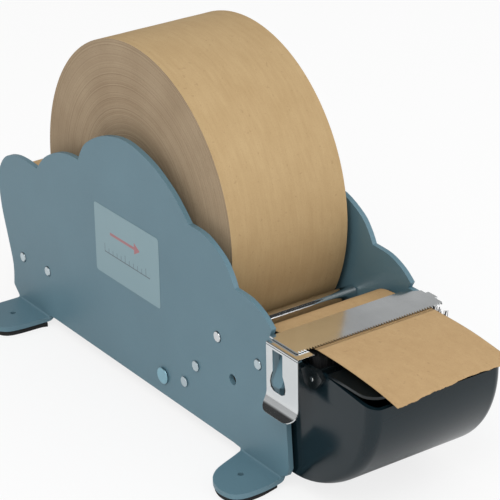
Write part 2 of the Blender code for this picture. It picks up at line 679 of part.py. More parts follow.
# The free end is torn along its front, and droops past the brush
def tape_end():
    near = TAPE_SIDE_SHIFT - TAPE_WIDTH / 2
    torn = [(TAPE_END_FRONT + ahead * TEAR_DEPTH, near + across * TAPE_WIDTH) for across, ahead in TEAR_SHARES]
    outline = [(TEAR_LINE + GAP, near), *torn, (TEAR_LINE + GAP, near + TAPE_WIDTH)]
    top = BLADE_BOTTOM - 2 * GAP
    bm = flat([outline], TAPE_THICKNESS, LEVEL, top - TAPE_THICKNESS)
    steps = 8
    for step in range(steps):
        level = TAPE_BEND_START + (TAPE_END_FRONT - TAPE_BEND_START) * step / steps
        everything = bm.verts[:] + bm.edges[:] + bm.faces[:]
        bmesh.ops.bisect_plane(bm, geom=everything, dist=MERGE, plane_co=(level, 0, 0), plane_no=(1, 0, 0))
    for vert in bm.verts:
        vert.co.z -= droop(vert.co.x)
    return piece("tape_end", bm, KRAFT, tape_end_axis)


# The blade's front edge is a row of teeth, and its far end hooks over the far plate
def blade():
    count = round((BLADE_LEFT + BLADE_RIGHT) / TOOTH_PITCH)
    pitch = (BLADE_LEFT + BLADE_RIGHT) / count
    teeth = []
    for index in range(count):
        start = -BLADE_LEFT + index * pitch
        teeth += [(BLADE_FRONT - TOOTH_DEPTH, start), (BLADE_FRONT, start + pitch / 2)]
    teeth.append((BLADE_FRONT - TOOTH_DEPTH, BLADE_RIGHT))
    hook = OUTER + GAP + BLADE_THICKNESS
    outline = [
        (BLADE_BACK, -BLADE_LEFT), *teeth, (HOOK_FRONT, BLADE_RIGHT), (HOOK_FRONT, hook),
        (HOOK_BACK, hook), (HOOK_BACK, BLADE_RIGHT), (BLADE_BACK + BLADE_CORNER, BLADE_RIGHT),
        (BLADE_BACK, BLADE_RIGHT - 2 * BLADE_CORNER)]
    made = piece("blade", flat([outline], BLADE_THICKNESS, LEVEL, BLADE_BOTTOM), STEEL)
    down = [(hook - BLADE_THICKNESS, BLADE_BOTTOM - HOOK_DROP), (hook, BLADE_BOTTOM - HOOK_DROP),
            (hook, BLADE_TOP), (hook - BLADE_THICKNESS, BLADE_TOP)]
    boolean(made, cutter("blade_hook", flat([down], HOOK_FRONT - HOOK_BACK, CROSSWISE, HOOK_BACK)), "UNION")
    return made


# The clip's flange under the blade's near end, bent down into a short stub at its edge
def blade_bracket():
    outer = -CLIP_OUTER
    profile = [(outer, BRACKET_TOP - CLIP_THICKNESS - GAP), (outer, BRACKET_TOP - CLIP_THICKNESS / 2),
               (outer + CLIP_THICKNESS / 2, BRACKET_TOP), (-BRACKET_INNER, BRACKET_TOP),
               (-BRACKET_INNER, BRACKET_TOP - CLIP_THICKNESS), (outer + CLIP_THICKNESS, BRACKET_TOP - CLIP_THICKNESS),
               (outer + CLIP_THICKNESS, BRACKET_TOP - CLIP_THICKNESS - GAP)]
    return piece("blade_bracket", flat([profile], CLIP_FRONT - CLIP_BACK, CROSSWISE, CLIP_BACK), STEEL)


def window_outline():
    middle = (WINDOW_BACK + WINDOW_FRONT) / 2
    half = (WINDOW_FRONT - WINDOW_BACK) / 2
    height = WINDOW_TOP - WINDOW_BOTTOM
    neck = half * (1 - WINDOW_NECK_SHARE)
    side = [(neck, 1.0), (neck, 0.55), (half * 0.92, 0.35), (half, 0.16), (half * 0.8, 0.04), (half * 0.45, 0.0)]
    right = [(middle + reach, WINDOW_BOTTOM + rise * height) for reach, rise in side]
    left = [(middle - reach, WINDOW_BOTTOM + rise * height) for reach, rise in reversed(side)]
    return right + left


# The spring leg snaps over the catch tab by its window, and its lip is pulled out by hand
def clip_lever():
    top = BRACKET_TOP - CLIP_THICKNESS - 2 * GAP
    developed = (CLIP_BEND_RADIUS + CLIP_THICKNESS / 2) * CLIP_BEND_ANGLE + CLIP_LIP
    bottom = CLIP_BEND_HEIGHT - developed
    outline = [(CLIP_BACK, top), (CLIP_FRONT, top)]
    outline += arc((CLIP_FRONT - CLIP_CORNER, bottom + CLIP_CORNER), CLIP_CORNER, 0, -math.pi / 2, 6)
    outline += arc((CLIP_BACK + CLIP_CORNER, bottom + CLIP_CORNER), CLIP_CORNER, -math.pi / 2, -math.pi, 6)
    bm = flat([outline, window_outline()], CLIP_THICKNESS, UPRIGHT)
    bend(bm, CLIP_BEND_HEIGHT, CLIP_BEND_RADIUS, CLIP_BEND_ANGLE, CLIP_THICKNESS, 5,
         lambda co: co.z < CLIP_BEND_HEIGHT - MERGE)
    to_side(bm, LEFT, CLIP_OUTER - CLIP_THICKNESS)
    return piece("clip_lever", bm, STEEL, clip_axis)


def rim_height(x):
    return TANK_RIM - max(0, x - TANK_RIM_BREAK) * TANK_RIM_SLOPE


# One section of the tank at a share of the way round its corner, 0 on the side face
def tank_section(share, inset, lift):
    reach = TANK_SIDE_RADIUS + (TANK_FRONT_REACH - TANK_SIDE_RADIUS) * share - inset
    depth = TANK_SIDE_RADIUS + (TANK_DEPTH - TANK_SIDE_RADIUS) * share - inset
    front = TANK_CENTRE[0] + reach
    points = [(TANK_RIM_BREAK, TANK_RIM + lift), (front, rim_height(front) + lift)]
    for step in range(TANK_ARC_STEPS + 1):
        turn = -math.pi / 2 * step / TANK_ARC_STEPS
        points.append((TANK_CENTRE[0] + reach * math.cos(turn), TANK_CENTRE[1] + depth * math.sin(turn)))
    points.append((TANK_BACK + inset, TANK_CENTRE[1] - depth))
    points.append((TANK_BACK + inset, TANK_RIM + lift))
    return points


# The tank's solid form, lofted across from one rounded corner to the other
def tank_form(inset, lift):
    bm = bmesh.new()
    sections = []
    for side in (LEFT, RIGHT):
        steps = range(TANK_CORNER_STEPS + 1)
        for step in (steps if side == LEFT else reversed(steps)):
            turn = math.pi / 2 * step / TANK_CORNER_STEPS
            across = TANK_HALF_WIDTH - inset - (TANK_CORNER - inset) * (1 - math.cos(turn))
            section = tank_section(math.sin(turn), inset, lift)
            sections.append([bm.verts.new((x, side * across, z)) for x, z in section])
    for first, second in zip(sections, sections[1:]):
        for index in range(len(first)):
            before = index - 1
            bm.faces.new((first[before], first[index], second[index], second[before]))
    bm.faces.new(sections[0])
    bm.faces.new(sections[-1])
    return bm


def water_tank():
    tank = piece("water_tank", tank_form(0, 0), BLACK_PLASTIC, tank_slide)
    boolean(tank, cutter("tank_inside", tank_form(TANK_WALL, OVERRUN), tank_slide), "DIFFERENCE")
    for side, label in SIDES:
        span = TANK_WALL + 2 * OVERRUN
        low = side * (TANK_HALF_WIDTH - TANK_WALL / 2) - span / 2
        hole = flat([circle(EAR_PIN, EAR_PIN_RADIUS + GAP, 10)], span, UPRIGHT, low)
        boolean(tank, cutter("tank_pin_hole_" + label, hole, tank_slide), "DIFFERENCE")
    return tank


def shelf_height(x):
    slope_span = TANK_DEPTH + GAP
    return TANK_CENTRE[1] - slope_span / math.cos(SLIDE_SLOPE) - (x - TANK_CENTRE[0]) * math.tan(SLIDE_SLOPE)


# The carrier hangs on the drum's axle, closes the gap behind the tank and holds it from below
def tank_carrier():
    bottom = shelf_height(CARRIER_BACK) - SHEET
    wall = [(-SHEET_HALF_WIDTH, bottom), (SHEET_HALF_WIDTH, bottom),
            (SHEET_HALF_WIDTH, CARRIER_TOP), (-SHEET_HALF_WIDTH, CARRIER_TOP)]
    slot = [(-DRAIN_SLOT, CARRIER_CHEEK_BOTTOM - SHEET), (-DRAIN_SLOT, bottom + 2 * SHEET + DRAIN_SLOT / 2),
            (DRAIN_SLOT, bottom + 2 * SHEET + DRAIN_SLOT / 2), (DRAIN_SLOT, CARRIER_CHEEK_BOTTOM - SHEET)]
    made = piece("tank_carrier", flat([wall, slot], SHEET, CROSSWISE, CARRIER_BACK), ZINC)
    shelf = [(CARRIER_BACK, shelf_height(CARRIER_BACK)), (SHELF_FRONT, shelf_height(SHELF_FRONT)),
             (SHELF_FRONT, shelf_height(SHELF_FRONT) - SHEET), (CARRIER_BACK, shelf_height(CARRIER_BACK) - SHEET)]
    tray = flat([shelf], 2 * SHELF_HALF_WIDTH, UPRIGHT, -SHELF_HALF_WIDTH)
    boolean(made, cutter("carrier_shelf", tray), "UNION")
    cheek = [(CARRIER_CHEEK_BACK, CARRIER_CHEEK_BOTTOM), (CARRIER_BACK + SHEET / 2, CARRIER_CHEEK_BOTTOM / 2),
             (CARRIER_BACK + SHEET / 2, CARRIER_TOP), (CARRIER_CHEEK_BACK, CARRIER_TOP)]
    for side, label in SIDES:
        low = SHEET_HALF_WIDTH - SHEET if side == RIGHT else -SHEET_HALF_WIDTH
        sheet = flat([cheek, circle(DRUM_AXLE, AXLE_RADIUS + GAP, 12)], SHEET, UPRIGHT, low)
        boolean(made, cutter("carrier_cheek_" + label, sheet), "UNION")
    return made


def ear_outline():
    return [(EAR_BACK + along * EAR_LENGTH, EAR_BOTTOM + rise * EAR_HEIGHT) for along, rise in EAR_SHARES]


# The holder is a channel in the tank's mouth that saddles both walls and ends in two ears
def brush_holder():
    inside = TANK_HALF_WIDTH - TANK_WALL - GAP
    rear_top = HOLDER_FLOOR + HOLDER_REAR_WALL
    channel = [
        (HOLDER_BACK, HOLDER_FLOOR), (HOLDER_BACK, rear_top), (HOLDER_BACK + SHEET, rear_top),
        (HOLDER_BACK + SHEET, HOLDER_FLOOR + SHEET), (HOLDER_FRONT - SHEET, HOLDER_FLOOR + SHEET),
        (HOLDER_FRONT - SHEET, HOLDER_TOP), (HOLDER_FRONT, HOLDER_TOP), (HOLDER_FRONT, HOLDER_FLOOR)]
    made = piece("brush_holder", flat([channel], 2 * inside, UPRIGHT, -inside), BLACK_PLASTIC, tank_slide)
    ear_inner = TANK_HALF_WIDTH + GAP
    bar = [(HOLDER_FRONT - SHEET, TANK_RIM + GAP), (HOLDER_FRONT - SHEET, HOLDER_TOP),
           (HOLDER_FRONT, HOLDER_TOP), (HOLDER_FRONT, TANK_RIM + GAP)]
    lug_reach = LID_PIN_RADIUS + GAP + SHEET
    lug = [(HOLDER_FRONT - SHEET, LID_HINGE[1] - 2 * lug_reach)]
    lug += arc(LID_HINGE, lug_reach, -math.pi * 0.4, math.pi * 0.5, 8)
    lug.append((HOLDER_FRONT - SHEET, LID_HINGE[1] + lug_reach))
    pin_hole = circle(LID_HINGE, LID_PIN_RADIUS + GAP, 10)
    ear_hole = circle(EAR_PIN, EAR_PIN_RADIUS + GAP, 10)
    for side, label in SIDES:
        bar_inner = inside - OVERRUN
        low = bar_inner if side == RIGHT else -(ear_inner + EAR_THICKNESS)
        across = flat([bar], ear_inner + EAR_THICKNESS - bar_inner, UPRIGHT, low)
        boolean(made, cutter("saddle_" + label, across, tank_slide), "UNION")
        low = ear_inner if side == RIGHT else -(ear_inner + EAR_THICKNESS)
        ear = flat([ear_outline(), ear_hole], EAR_THICKNESS, UPRIGHT, low)
        boolean(made, cutter("ear_" + label, ear, tank_slide), "UNION")
        start = LID_BARREL_HALF + GAP
        low = start if side == RIGHT else -(start + LUG_WIDTH)
        boolean(made, cutter("lug_" + label, flat([lug, pin_hole], LUG_WIDTH, UPRIGHT, low), tank_slide), "UNION")
    return made


def holder_pin(name, side):
    bm = bmesh.new()
    inner = TANK_HALF_WIDTH - TANK_WALL + GAP / 2
    outer = TANK_HALF_WIDTH + GAP + EAR_THICKNESS + EAR_PIN_HEAD
    middle = Matrix.Translation((EAR_PIN[0], side * (inner + outer) / 2, EAR_PIN[1]))
    bmesh.ops.create_cone(bm, cap_ends=True, segments=12, radius1=EAR_PIN_RADIUS, radius2=EAR_PIN_RADIUS,
                          depth=outer - inner, matrix=middle @ Matrix.Rotation(math.pi / 2, 4, "X"))
    return piece(name, bm, STEEL, tank_slide)


# Underside of the tape above the brush
def tape_underside(x):
    (x1, z1), (x2, z2) = tape_route()[-2:]
    rise = z1 + (x - x1) * (z2 - z1) / (x2 - x1)
    return min(rise, z2) - TAPE_THICKNESS / 2


# The brush is one block whose top is drawn up into separate bristles, trimmed to the tape
def brush():
    random.seed(7)
    back = HOLDER_BACK + SHEET + GAP
    front = HOLDER_FRONT - SHEET - GAP
    half = TANK_HALF_WIDTH - TANK_WALL - GAP
    top = HOLDER_FLOOR + SHEET + GAP + BRUSH_BLOCK
    middle = Matrix.Translation(((back + front) / 2, 0, top))
    size = Matrix.Diagonal((front - back, 2 * half, 1, 1))
    bm = bmesh.new()
    bmesh.ops.create_grid(bm, x_segments=BRUSH_ROWS, y_segments=BRUSH_COLUMNS, size=0.5, matrix=middle @ size)
    lower = bmesh.ops.extrude_face_region(bm, geom=bm.faces[:])["geom"]
    moved = [item for item in lower if isinstance(item, bmesh.types.BMVert)]
    bmesh.ops.translate(bm, verts=moved, vec=(0, 0, -BRUSH_BLOCK))
    bm.normal_update()
    underside = [face for face in bm.faces if face.calc_center_median().z < top - BRUSH_BLOCK + MERGE]
    bmesh.ops.dissolve_faces(bm, faces=underside, use_verts=True)
    cells = [face for face in bm.faces if abs(face.calc_center_median().z - top) < MERGE]
    bmesh.ops.inset_individual(bm, faces=cells, thickness=BRISTLE_INSET)
    tips = bmesh.ops.extrude_discrete_faces(bm, faces=cells)["faces"]
    for tip in tips:
        centre = tip.calc_center_median()
        lean = Vector((random.uniform(-BRISTLE_LEAN, BRISTLE_LEAN), random.uniform(-BRISTLE_LEAN, BRISTLE_LEAN), 0))
        level = tape_underside(centre.x) - GAP
        for vert in tip.verts:
            vert.co = centre + (vert.co - centre) * BRISTLE_TIP_SHARE + lean
            vert.co.z = level
    return piece("brush", bm, BRISTLE, tank_slide)


# The lid swings up on a wire pin held by two lugs of the brush holder
def tank_lid():
    half = TANK_HALF_WIDTH - GAP
    outline = [(LID_BACK, -half)]
    outline += arc((LID_FRONT - LID_CORNER, -half + LID_CORNER), LID_CORNER, -math.pi / 2, 0, 6)
    outline += arc((LID_FRONT - LID_CORNER, half - LID_CORNER), LID_CORNER, 0, math.pi / 2, 6)
    outline.append((LID_BACK, half))
    low = TANK_RIM + GAP
    made = piece("tank_lid", flat([outline], LID_THICKNESS, LEVEL, low), BLACK_PLASTIC, lid_axis)
    barrel = flat([circle(LID_HINGE, LID_BARREL_RADIUS, 16)], 2 * LID_BARREL_HALF, UPRIGHT, -LID_BARREL_HALF)
    boolean(made, cutter("lid_barrel", barrel, lid_axis), "UNION")
    neck = [(LID_HINGE[0], low), (LID_BACK + LID_THICKNESS, low),
            (LID_BACK + LID_THICKNESS, low + LID_THICKNESS), (LID_HINGE[0], low + LID_THICKNESS)]
    boolean(made, cutter("lid_neck", flat([neck], 2 * LID_BARREL_HALF, UPRIGHT, -LID_BARREL_HALF), lid_axis), "UNION")
    span = 2 * (LID_BARREL_HALF + OVERRUN)
    bore = flat([circle(LID_HINGE, LID_PIN_RADIUS + GAP, 10)], span, UPRIGHT, -span / 2)
    boolean(made, cutter("lid_bore", bore, lid_axis), "DIFFERENCE")
    return made


def label_plate():
    corners = [(LABEL_BACK, LABEL_BOTTOM), (LABEL_FRONT, LABEL_BOTTOM), (LABEL_FRONT, LABEL_TOP), (LABEL_BACK, LABEL_TOP)]
    low = -(OUTER + GAP + LABEL_THICKNESS)
    return piece("blank_label", flat([rounded(corners, LABEL_CORNER)], LABEL_THICKNESS, UPRIGHT, low), LABEL)


# The feed drum has shallow grooves round it, which keep the damp gum from sticking
def feed_drum():
    half = INNER - ROLLER_SIDE_PLAY
    land = 2 * half / (2 * DRUM_GROOVES + 1)
    profile = [(AXLE_RADIUS + GAP, half), (DRUM_RADIUS, half)]
    for index in range(DRUM_GROOVES):
        start = half - (2 * index + 1) * land
        profile += [(DRUM_RADIUS, start), (DRUM_RADIUS - DRUM_GROOVE_DEPTH, start),
                    (DRUM_RADIUS - DRUM_GROOVE_DEPTH, start - land), (DRUM_RADIUS, start - land)]
    profile += [(DRUM_RADIUS, -half), (AXLE_RADIUS + GAP, -half)]
    return turned("feed_drum", profile, BLACK_PLASTIC, DRUM_AXLE, drum_axis, closed=True, steps=28)


for side, label in SIDES:
    side_plate(label + "_side_plate", side)
    rubber_pad(label + "_front_pad", side, FRONT_FOOT_START, FRONT_FOOT_LENGTH, FRONT_FOOT_SHARES)
    rubber_pad(label + "_rear_pad", side, REAR_FOOT_START, REAR_FOOT_LENGTH, REAR_FOOT_SHARES)
    rivet(label + "_pan_rivet", PAN_RIVET, side, PAN_RIVET_HEAD_RADIUS, PAN_RIVET_HEAD)
    rivet(label + "_upper_bracket_rivet", BRACKET_RIVET_HIGH, side, AXLE_RADIUS, AXLE_HEAD)
    rivet(label + "_lower_bracket_rivet", BRACKET_RIVET_LOW, side, AXLE_RADIUS, AXLE_HEAD)
    ring(label + "_roller_bush", REAR_TOP_AXLE, AXLE_RADIUS + GAP, BUSH_RADIUS, BUSH_LENGTH / 2, NYLON,
         steps=20, shift=side * (SHEET_HALF_WIDTH - BUSH_LENGTH / 2))
    holder_pin(label + "_holder_pin", side)

base_pan()
roll_stop_bracket()
rod("pan_rod", PAN_ROD, OUTER + AXLE_HEAD, AXLE_RADIUS, ZINC)
rod("roll_stop_rod", STOP_ROD, SHEET_HALF_WIDTH, STOP_ROD_RADIUS, CHROME, AXLE_RADIUS, OUTER + AXLE_HEAD)
rod("rear_lower_axle", REAR_LOWER_AXLE, OUTER + AXLE_HEAD, AXLE_RADIUS, ZINC)
rod("rear_top_axle", REAR_TOP_AXLE, SHEET_HALF_WIDTH, AXLE_RADIUS, ZINC)
rod("drum_axle", DRUM_AXLE, OUTER + AXLE_HEAD, AXLE_RADIUS, ZINC)

roller_half = INNER - ROLLER_SIDE_PLAY
ring("rear_top_roller", REAR_TOP_AXLE, AXLE_RADIUS + GAP, REAR_TOP_ROLLER_RADIUS, roller_half,
     BLACK_PLASTIC, rear_top_axis)
ring("rear_lower_roller", REAR_LOWER_AXLE, AXLE_RADIUS + GAP, REAR_LOWER_ROLLER_RADIUS, roller_half,
     BLACK_PLASTIC, rear_lower_axis)
feed_drum()
ring("tape_roll", (0, ROLL_AXIS_HEIGHT), CORE_RADIUS + GAP, ROLL_RADIUS, TAPE_WIDTH / 2, KRAFT, roll_axis,
     edge=ROLL_EDGE, steps=96, shift=TAPE_SIDE_SHIFT)
ring("roll_core", (0, ROLL_AXIS_HEIGHT), CORE_BORE_RADIUS, CORE_RADIUS, TAPE_WIDTH / 2, CARD, roll_axis,
     steps=32, shift=TAPE_SIDE_SHIFT)

tape_web()
tape_end()
blade()
blade_bracket()
clip_lever()
tank_carrier()
water_tank()
brush_holder()
brush()
tank_lid()
rod("lid_pin", LID_HINGE, LID_BARREL_HALF + LUG_WIDTH, LID_PIN_RADIUS, STEEL, carrier=tank_slide)
label_plate()
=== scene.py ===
# Looks for a counter dispenser of gummed paper tape: enamel, papers, metals and glossy plastic
import json
import math
import random

import bmesh
import bpy
from mathutils import Matrix, Vector, noise


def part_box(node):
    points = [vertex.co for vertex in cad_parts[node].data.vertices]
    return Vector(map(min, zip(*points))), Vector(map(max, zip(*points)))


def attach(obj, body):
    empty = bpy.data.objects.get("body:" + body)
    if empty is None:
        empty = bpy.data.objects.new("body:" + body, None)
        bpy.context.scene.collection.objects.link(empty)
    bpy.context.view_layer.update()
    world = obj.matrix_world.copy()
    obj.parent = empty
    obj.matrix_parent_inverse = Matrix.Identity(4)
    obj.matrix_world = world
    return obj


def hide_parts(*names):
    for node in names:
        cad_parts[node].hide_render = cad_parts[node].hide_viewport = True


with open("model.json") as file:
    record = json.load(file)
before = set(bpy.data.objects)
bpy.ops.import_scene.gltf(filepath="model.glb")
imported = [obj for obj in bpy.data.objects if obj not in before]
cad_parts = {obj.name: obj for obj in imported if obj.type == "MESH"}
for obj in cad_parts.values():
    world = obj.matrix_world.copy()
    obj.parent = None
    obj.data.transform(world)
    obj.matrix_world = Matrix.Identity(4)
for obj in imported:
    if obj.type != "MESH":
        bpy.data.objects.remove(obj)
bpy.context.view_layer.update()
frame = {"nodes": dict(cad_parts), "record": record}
mm = 0.001
print("frame loaded")

record = frame["record"]
bodyOf = {node: body for body, members in record["behaviour"]["bodies"].items() for node in members}


def corners(node):  # lowest and highest corner of a CAD node
    low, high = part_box(node)
    return Vector(low), Vector(high)


def middle(node):
    low, high = corners(node)
    return (low + high) / 2


def tint(*screen):  # a screen colour as the shader's linear one
    shares = [c / 255 for c in screen]
    return tuple(s / 12.92 if s <= 0.04 else ((s + 0.055) / 1.055) ** 2.4 for s in shares) + (1,)


class Value:  # one socket of a node tree: maths on it adds Math nodes
    def __init__(self, graph, socket):
        self.graph, self.socket = graph, socket

    def maths(self, operation, *others):
        sockets = dict(enumerate((self, *others)))
        return self.graph.node("ShaderNodeMath", {"operation": operation}, sockets)

    def __add__(self, other):
        return self.maths("ADD", other)

    def __sub__(self, other):
        return self.maths("SUBTRACT", other)

    def __mul__(self, other):
        return self.maths("MULTIPLY", other)

    def __truediv__(self, other):
        return self.maths("DIVIDE", other)

    def __pow__(self, other):
        return self.maths("POWER", other)

    def __neg__(self):
        return self * -1

    def __rsub__(self, other):
        return -self + other

    __radd__ = __add__
    __rmul__ = __mul__

    def size(self):
        return self.maths("ABSOLUTE")

    def below(self, edge):
        return self.maths("LESS_THAN", edge)

    def ramp(self, low, high):  # 0 at low, 1 at high, and no further
        sockets = {"Value": self, "From Min": low, "From Max": high}
        return self.graph.node("ShaderNodeMapRange", {"clamp": True}, sockets)


class Graph:  # a shader or geometry tree
    def __init__(self, tree):
        self.tree = tree

    def node(self, kind, settings=None, sockets=None, output=0):
        made = self.tree.nodes.new(kind)
        for key, value in (settings or {}).items():
            setattr(made, key, value)
        for key, value in (sockets or {}).items():
            self.feed(made.inputs[key], value)
        return Value(self, made.outputs[output])

    def feed(self, socket, value):
        if isinstance(value, Value):
            self.tree.links.new(value.socket, socket)
        elif value is not None:
            socket.default_value = value

    def split(self, vector):
        return [self.node("ShaderNodeSeparateXYZ", None, {0: vector}, axis) for axis in range(3)]

    def join(self, x, y, z):
        return self.node("ShaderNodeCombineXYZ", None, {0: x, 1: y, 2: z})

    def mix(self, mask, first, second):
        return self.node("ShaderNodeMix", {"data_type": "RGBA"}, {0: mask, 6: first, 7: second}, 2)


class Finish(Graph):  # a material on one Principled shader
    def __init__(self, name, plain):
        self.material = bpy.data.materials.new(name)
        self.material.use_nodes = True
        super().__init__(self.material.node_tree)
        self.shader = self.tree.nodes["Principled BSDF"]
        self.set(plain)

    def set(self, sockets):
        for key, value in sockets.items():
            self.feed(self.shader.inputs[key], value)

    def place(self, shift=(0, 0, 0), scale=(1, 1, 1)):  # object coordinates about shift, stretched
        where = self.node("ShaderNodeTexCoord", output=3)
        settings = {"Location": tuple(-s * k for s, k in zip(shift, scale)), "Scale": scale}
        return self.node("ShaderNodeMapping", None, {"Vector": where, **settings})

    def noise(self, where, scale, detail=2, rough=0.5):
        sockets = {"Vector": where, "Scale": scale, "Detail": detail, "Roughness": rough}
        return self.node("ShaderNodeTexNoise", None, sockets)

    def bump(self, height, distance, strength=1):
        sockets = {"Height": height, "Distance": distance, "Strength": strength}
        self.set({"Normal": self.node("ShaderNodeBump", None, sockets)})


enamel = {
    "light": tint(98, 130, 143), "dark": tint(89, 121, 134), "speck": tint(74, 100, 110),
    "roughness": 0.36, "peel": 620, "depth": 0.02 * mm,
}


def enamelFinish(name):
    paint = Finish(name, {"IOR": 1.5})
    where = paint.place()
    clouds = paint.noise(where, 16, 3).ramp(0.3, 0.7)
    peel = paint.noise(where, enamel["peel"], 1)
    specks = paint.noise(where, 1900, 0).ramp(0.72, 0.8)
    body = paint.mix(clouds, enamel["dark"], enamel["light"])
    paint.set({"Base Color": paint.mix(specks * 0.25, body, enamel["speck"])})
    paint.set({"Roughness": enamel["roughness"] + clouds * 0.07 + peel * 0.06})
    paint.bump(peel, enamel["depth"])
    return paint.material


kraft = {"fibre": tint(198, 172, 132), "fleck": tint(138, 108, 72)}


def kraftFinish(name, pale, deep, stretch):  # stretch draws the fibres out along the tape
    paper = Finish(name, {"IOR": 1.45, "Specular IOR Level": 0.3})
    along = paper.place(scale=stretch)
    where = paper.place()
    streaks = paper.noise(along, 1, 4, 0.6).ramp(0.22, 0.80)
    clouds = paper.noise(where, 38, 4, 0.6).ramp(0.3, 0.7)
    fibres = paper.noise(paper.place(scale=tuple(s * 2.6 for s in stretch)), 1, 3, 0.7)
    grain = paper.noise(where, 1500, 2, 0.7)
    flecks = paper.noise(where, 420, 1).ramp(0.70, 0.76)
    body = paper.mix(streaks * 0.6 + clouds * 0.4, deep, pale)
    body = paper.mix(fibres.ramp(0.58, 0.74) * 0.3, body, kraft["fibre"])
    body = paper.mix(grain.ramp(0.5, 0.8) * 0.22, body, kraft["fleck"])
    paper.set({"Base Color": paper.mix(flecks * 0.25, body, kraft["fleck"])})
    paper.set({"Roughness": 0.68 + grain * 0.2})
    paper.bump(streaks * 0.5 + grain * 0.6 + clouds * 0.5, 0.06 * mm, 0.6)
    return paper.material


rollFace = {
    "pale": tint(181, 161, 134), "deep": tint(152, 131, 106), "line": tint(120, 98, 74),
    "ridge": tint(188, 170, 144), "pitch": 0.7 * mm,
}


def layeredFinish(hub):  # the wound edges: rings about the roll's axis, with slow clouds
    edges = Finish("woundEdges", {"IOR": 1.4, "Specular IOR Level": 0.2, "Roughness": 0.85})
    flat = edges.place(shift=hub, scale=(1, 0, 1))
    radius = edges.node("ShaderNodeVectorMath", {"operation": "LENGTH"}, {0: flat}, 1)
    circles = {"noise_dimensions": "1D"}
    fine = {"W": radius, "Scale": 1 / rollFace["pitch"], "Detail": 3}
    rings = edges.node("ShaderNodeTexNoise", circles, fine)
    bands = edges.node("ShaderNodeTexNoise", circles, {"W": radius, "Scale": 130, "Detail": 2})
    clouds = edges.noise(edges.place(), 30, 3).ramp(0.3, 0.7)
    grit = edges.noise(edges.place(), 1300, 2, 0.7)
    body = edges.mix(bands.ramp(0.3, 0.7) * 0.3 + clouds * 0.5, rollFace["deep"], rollFace["pale"])
    body = edges.mix(rings.ramp(0.50, 0.72) * 0.32, body, rollFace["line"])
    body = edges.mix(rings.ramp(0.48, 0.28) * 0.25, body, rollFace["ridge"])
    edges.set({"Base Color": edges.mix(grit.ramp(0.55, 0.8) * 0.35, body, rollFace["line"])})
    edges.bump(rings + grit * 0.5, 0.12 * mm, 0.7)
    return edges.material


dustGrey = tint(88, 92, 94)


def plasticFinish(name, colour, roughness, ripple, shine=0.5):
    plastic = Finish(name, {"IOR": 1.5, "Specular IOR Level": shine})
    where = plastic.place()
    swell = plastic.noise(where, 26, 1)
    dust = plastic.noise(where, 900, 2, 0.7)
    hazy = plastic.noise(where, 60, 3).ramp(0.35, 0.75)
    plastic.set({"Base Color": plastic.mix(dust.ramp(0.66, 0.8) * 0.16, colour, dustGrey)})
    plastic.set({"Roughness": roughness + hazy * 0.05 + dust.ramp(0.6, 0.9) * 0.1})
    plastic.bump(swell, ripple)
    return plastic.material


def metalFinish(name, colour, roughness, grain, depth):  # grain stretches the polishing lines
    metal = Finish(name, {"Metallic": 1})
    lines = metal.noise(metal.place(scale=grain), 1, 3, 0.6)
    smears = metal.noise(metal.place(), 45, 3).ramp(0.35, 0.75)
    dull = tuple(c * 0.82 for c in colour[:3]) + (1,)
    metal.set({"Base Color": metal.mix(smears * 0.5 + lines * 0.3, colour, dull)})
    metal.set({"Roughness": roughness + smears * roughness * 0.6 + lines * 0.03})
    metal.bump(lines, depth)
    return metal.material


def matteFinish(name, light, dark, roughness, scale, depth):
    matte = Finish(name, {"IOR": 1.45})
    where = matte.place()
    grain = matte.noise(where, scale, 3, 0.6)
    clouds = matte.noise(where, 40, 2).ramp(0.3, 0.7)
    matte.set({"Base Color": matte.mix(clouds * 0.5 + grain * 0.5, dark, light)})
    matte.set({"Roughness": roughness + grain * 0.12})
    matte.bump(grain, depth)
    return matte.material


label = {  # its scale and arrow, in mm
    "film": tint(128, 156, 164), "worn": tint(140, 166, 173), "ink": tint(58, 66, 72),
    "red": tint(176, 60, 62), "length": 44, "tick": 4, "stroke": 0.4, "line": -6, "lineHalf": 0.3,
    "marks": ((1, 1.4, 1.5), (5, 2.2, 2.4)),  # how many ticks apart, rise of the middle, half the height
    "arrow": 6, "shaft": (-4, 12, 0.8), "head": (10, 2.6), "tip": 13, "headSlope": 0.6,
}


def labelFinish():  # a plain scale with an arrow above it
    film = Finish("labelFilm", {"IOR": 1.5, "Roughness": 0.3})
    metre = 1 / mm
    x, z = film.split(film.place(shift=middle("blank_label"), scale=(metre, metre, metre)))[::2]
    half, stroke = label["length"] / 2, label["stroke"]
    inside = (x + stroke / 2).size().below(half + label["lineHalf"])
    line = (z - label["line"]).size().below(label["lineHalf"]) * x.size().below(half)
    ticks = []
    for apart, rise, tall in label["marks"]:
        edge = (x + half).maths("FLOORED_MODULO", label["tick"] * apart).below(stroke)
        ticks.append(edge * (z - label["line"] - rise).size().below(tall) * inside)
    level = (z - label["arrow"]).size()
    centre, reach, thick = label["shaft"]
    shaft = level.below(thick) * (x - centre).size().below(reach)
    centre, reach = label["head"]
    head = level.below((label["tip"] - x) * label["headSlope"]) * (x - centre).size().below(reach)
    clouds = film.noise(film.place(), 60, 2)
    marks = line.maths("MAXIMUM", ticks[0]).maths("MAXIMUM", ticks[1])
    inked = film.mix(marks * 0.8, label["film"], label["ink"])
    inked = film.mix(shaft.maths("MAXIMUM", head) * 0.75, inked, label["red"])
    film.set({"Base Color": film.mix(clouds * 0.2, inked, label["worn"])})
    film.bump(clouds, 0.05 * mm)
    return film.material


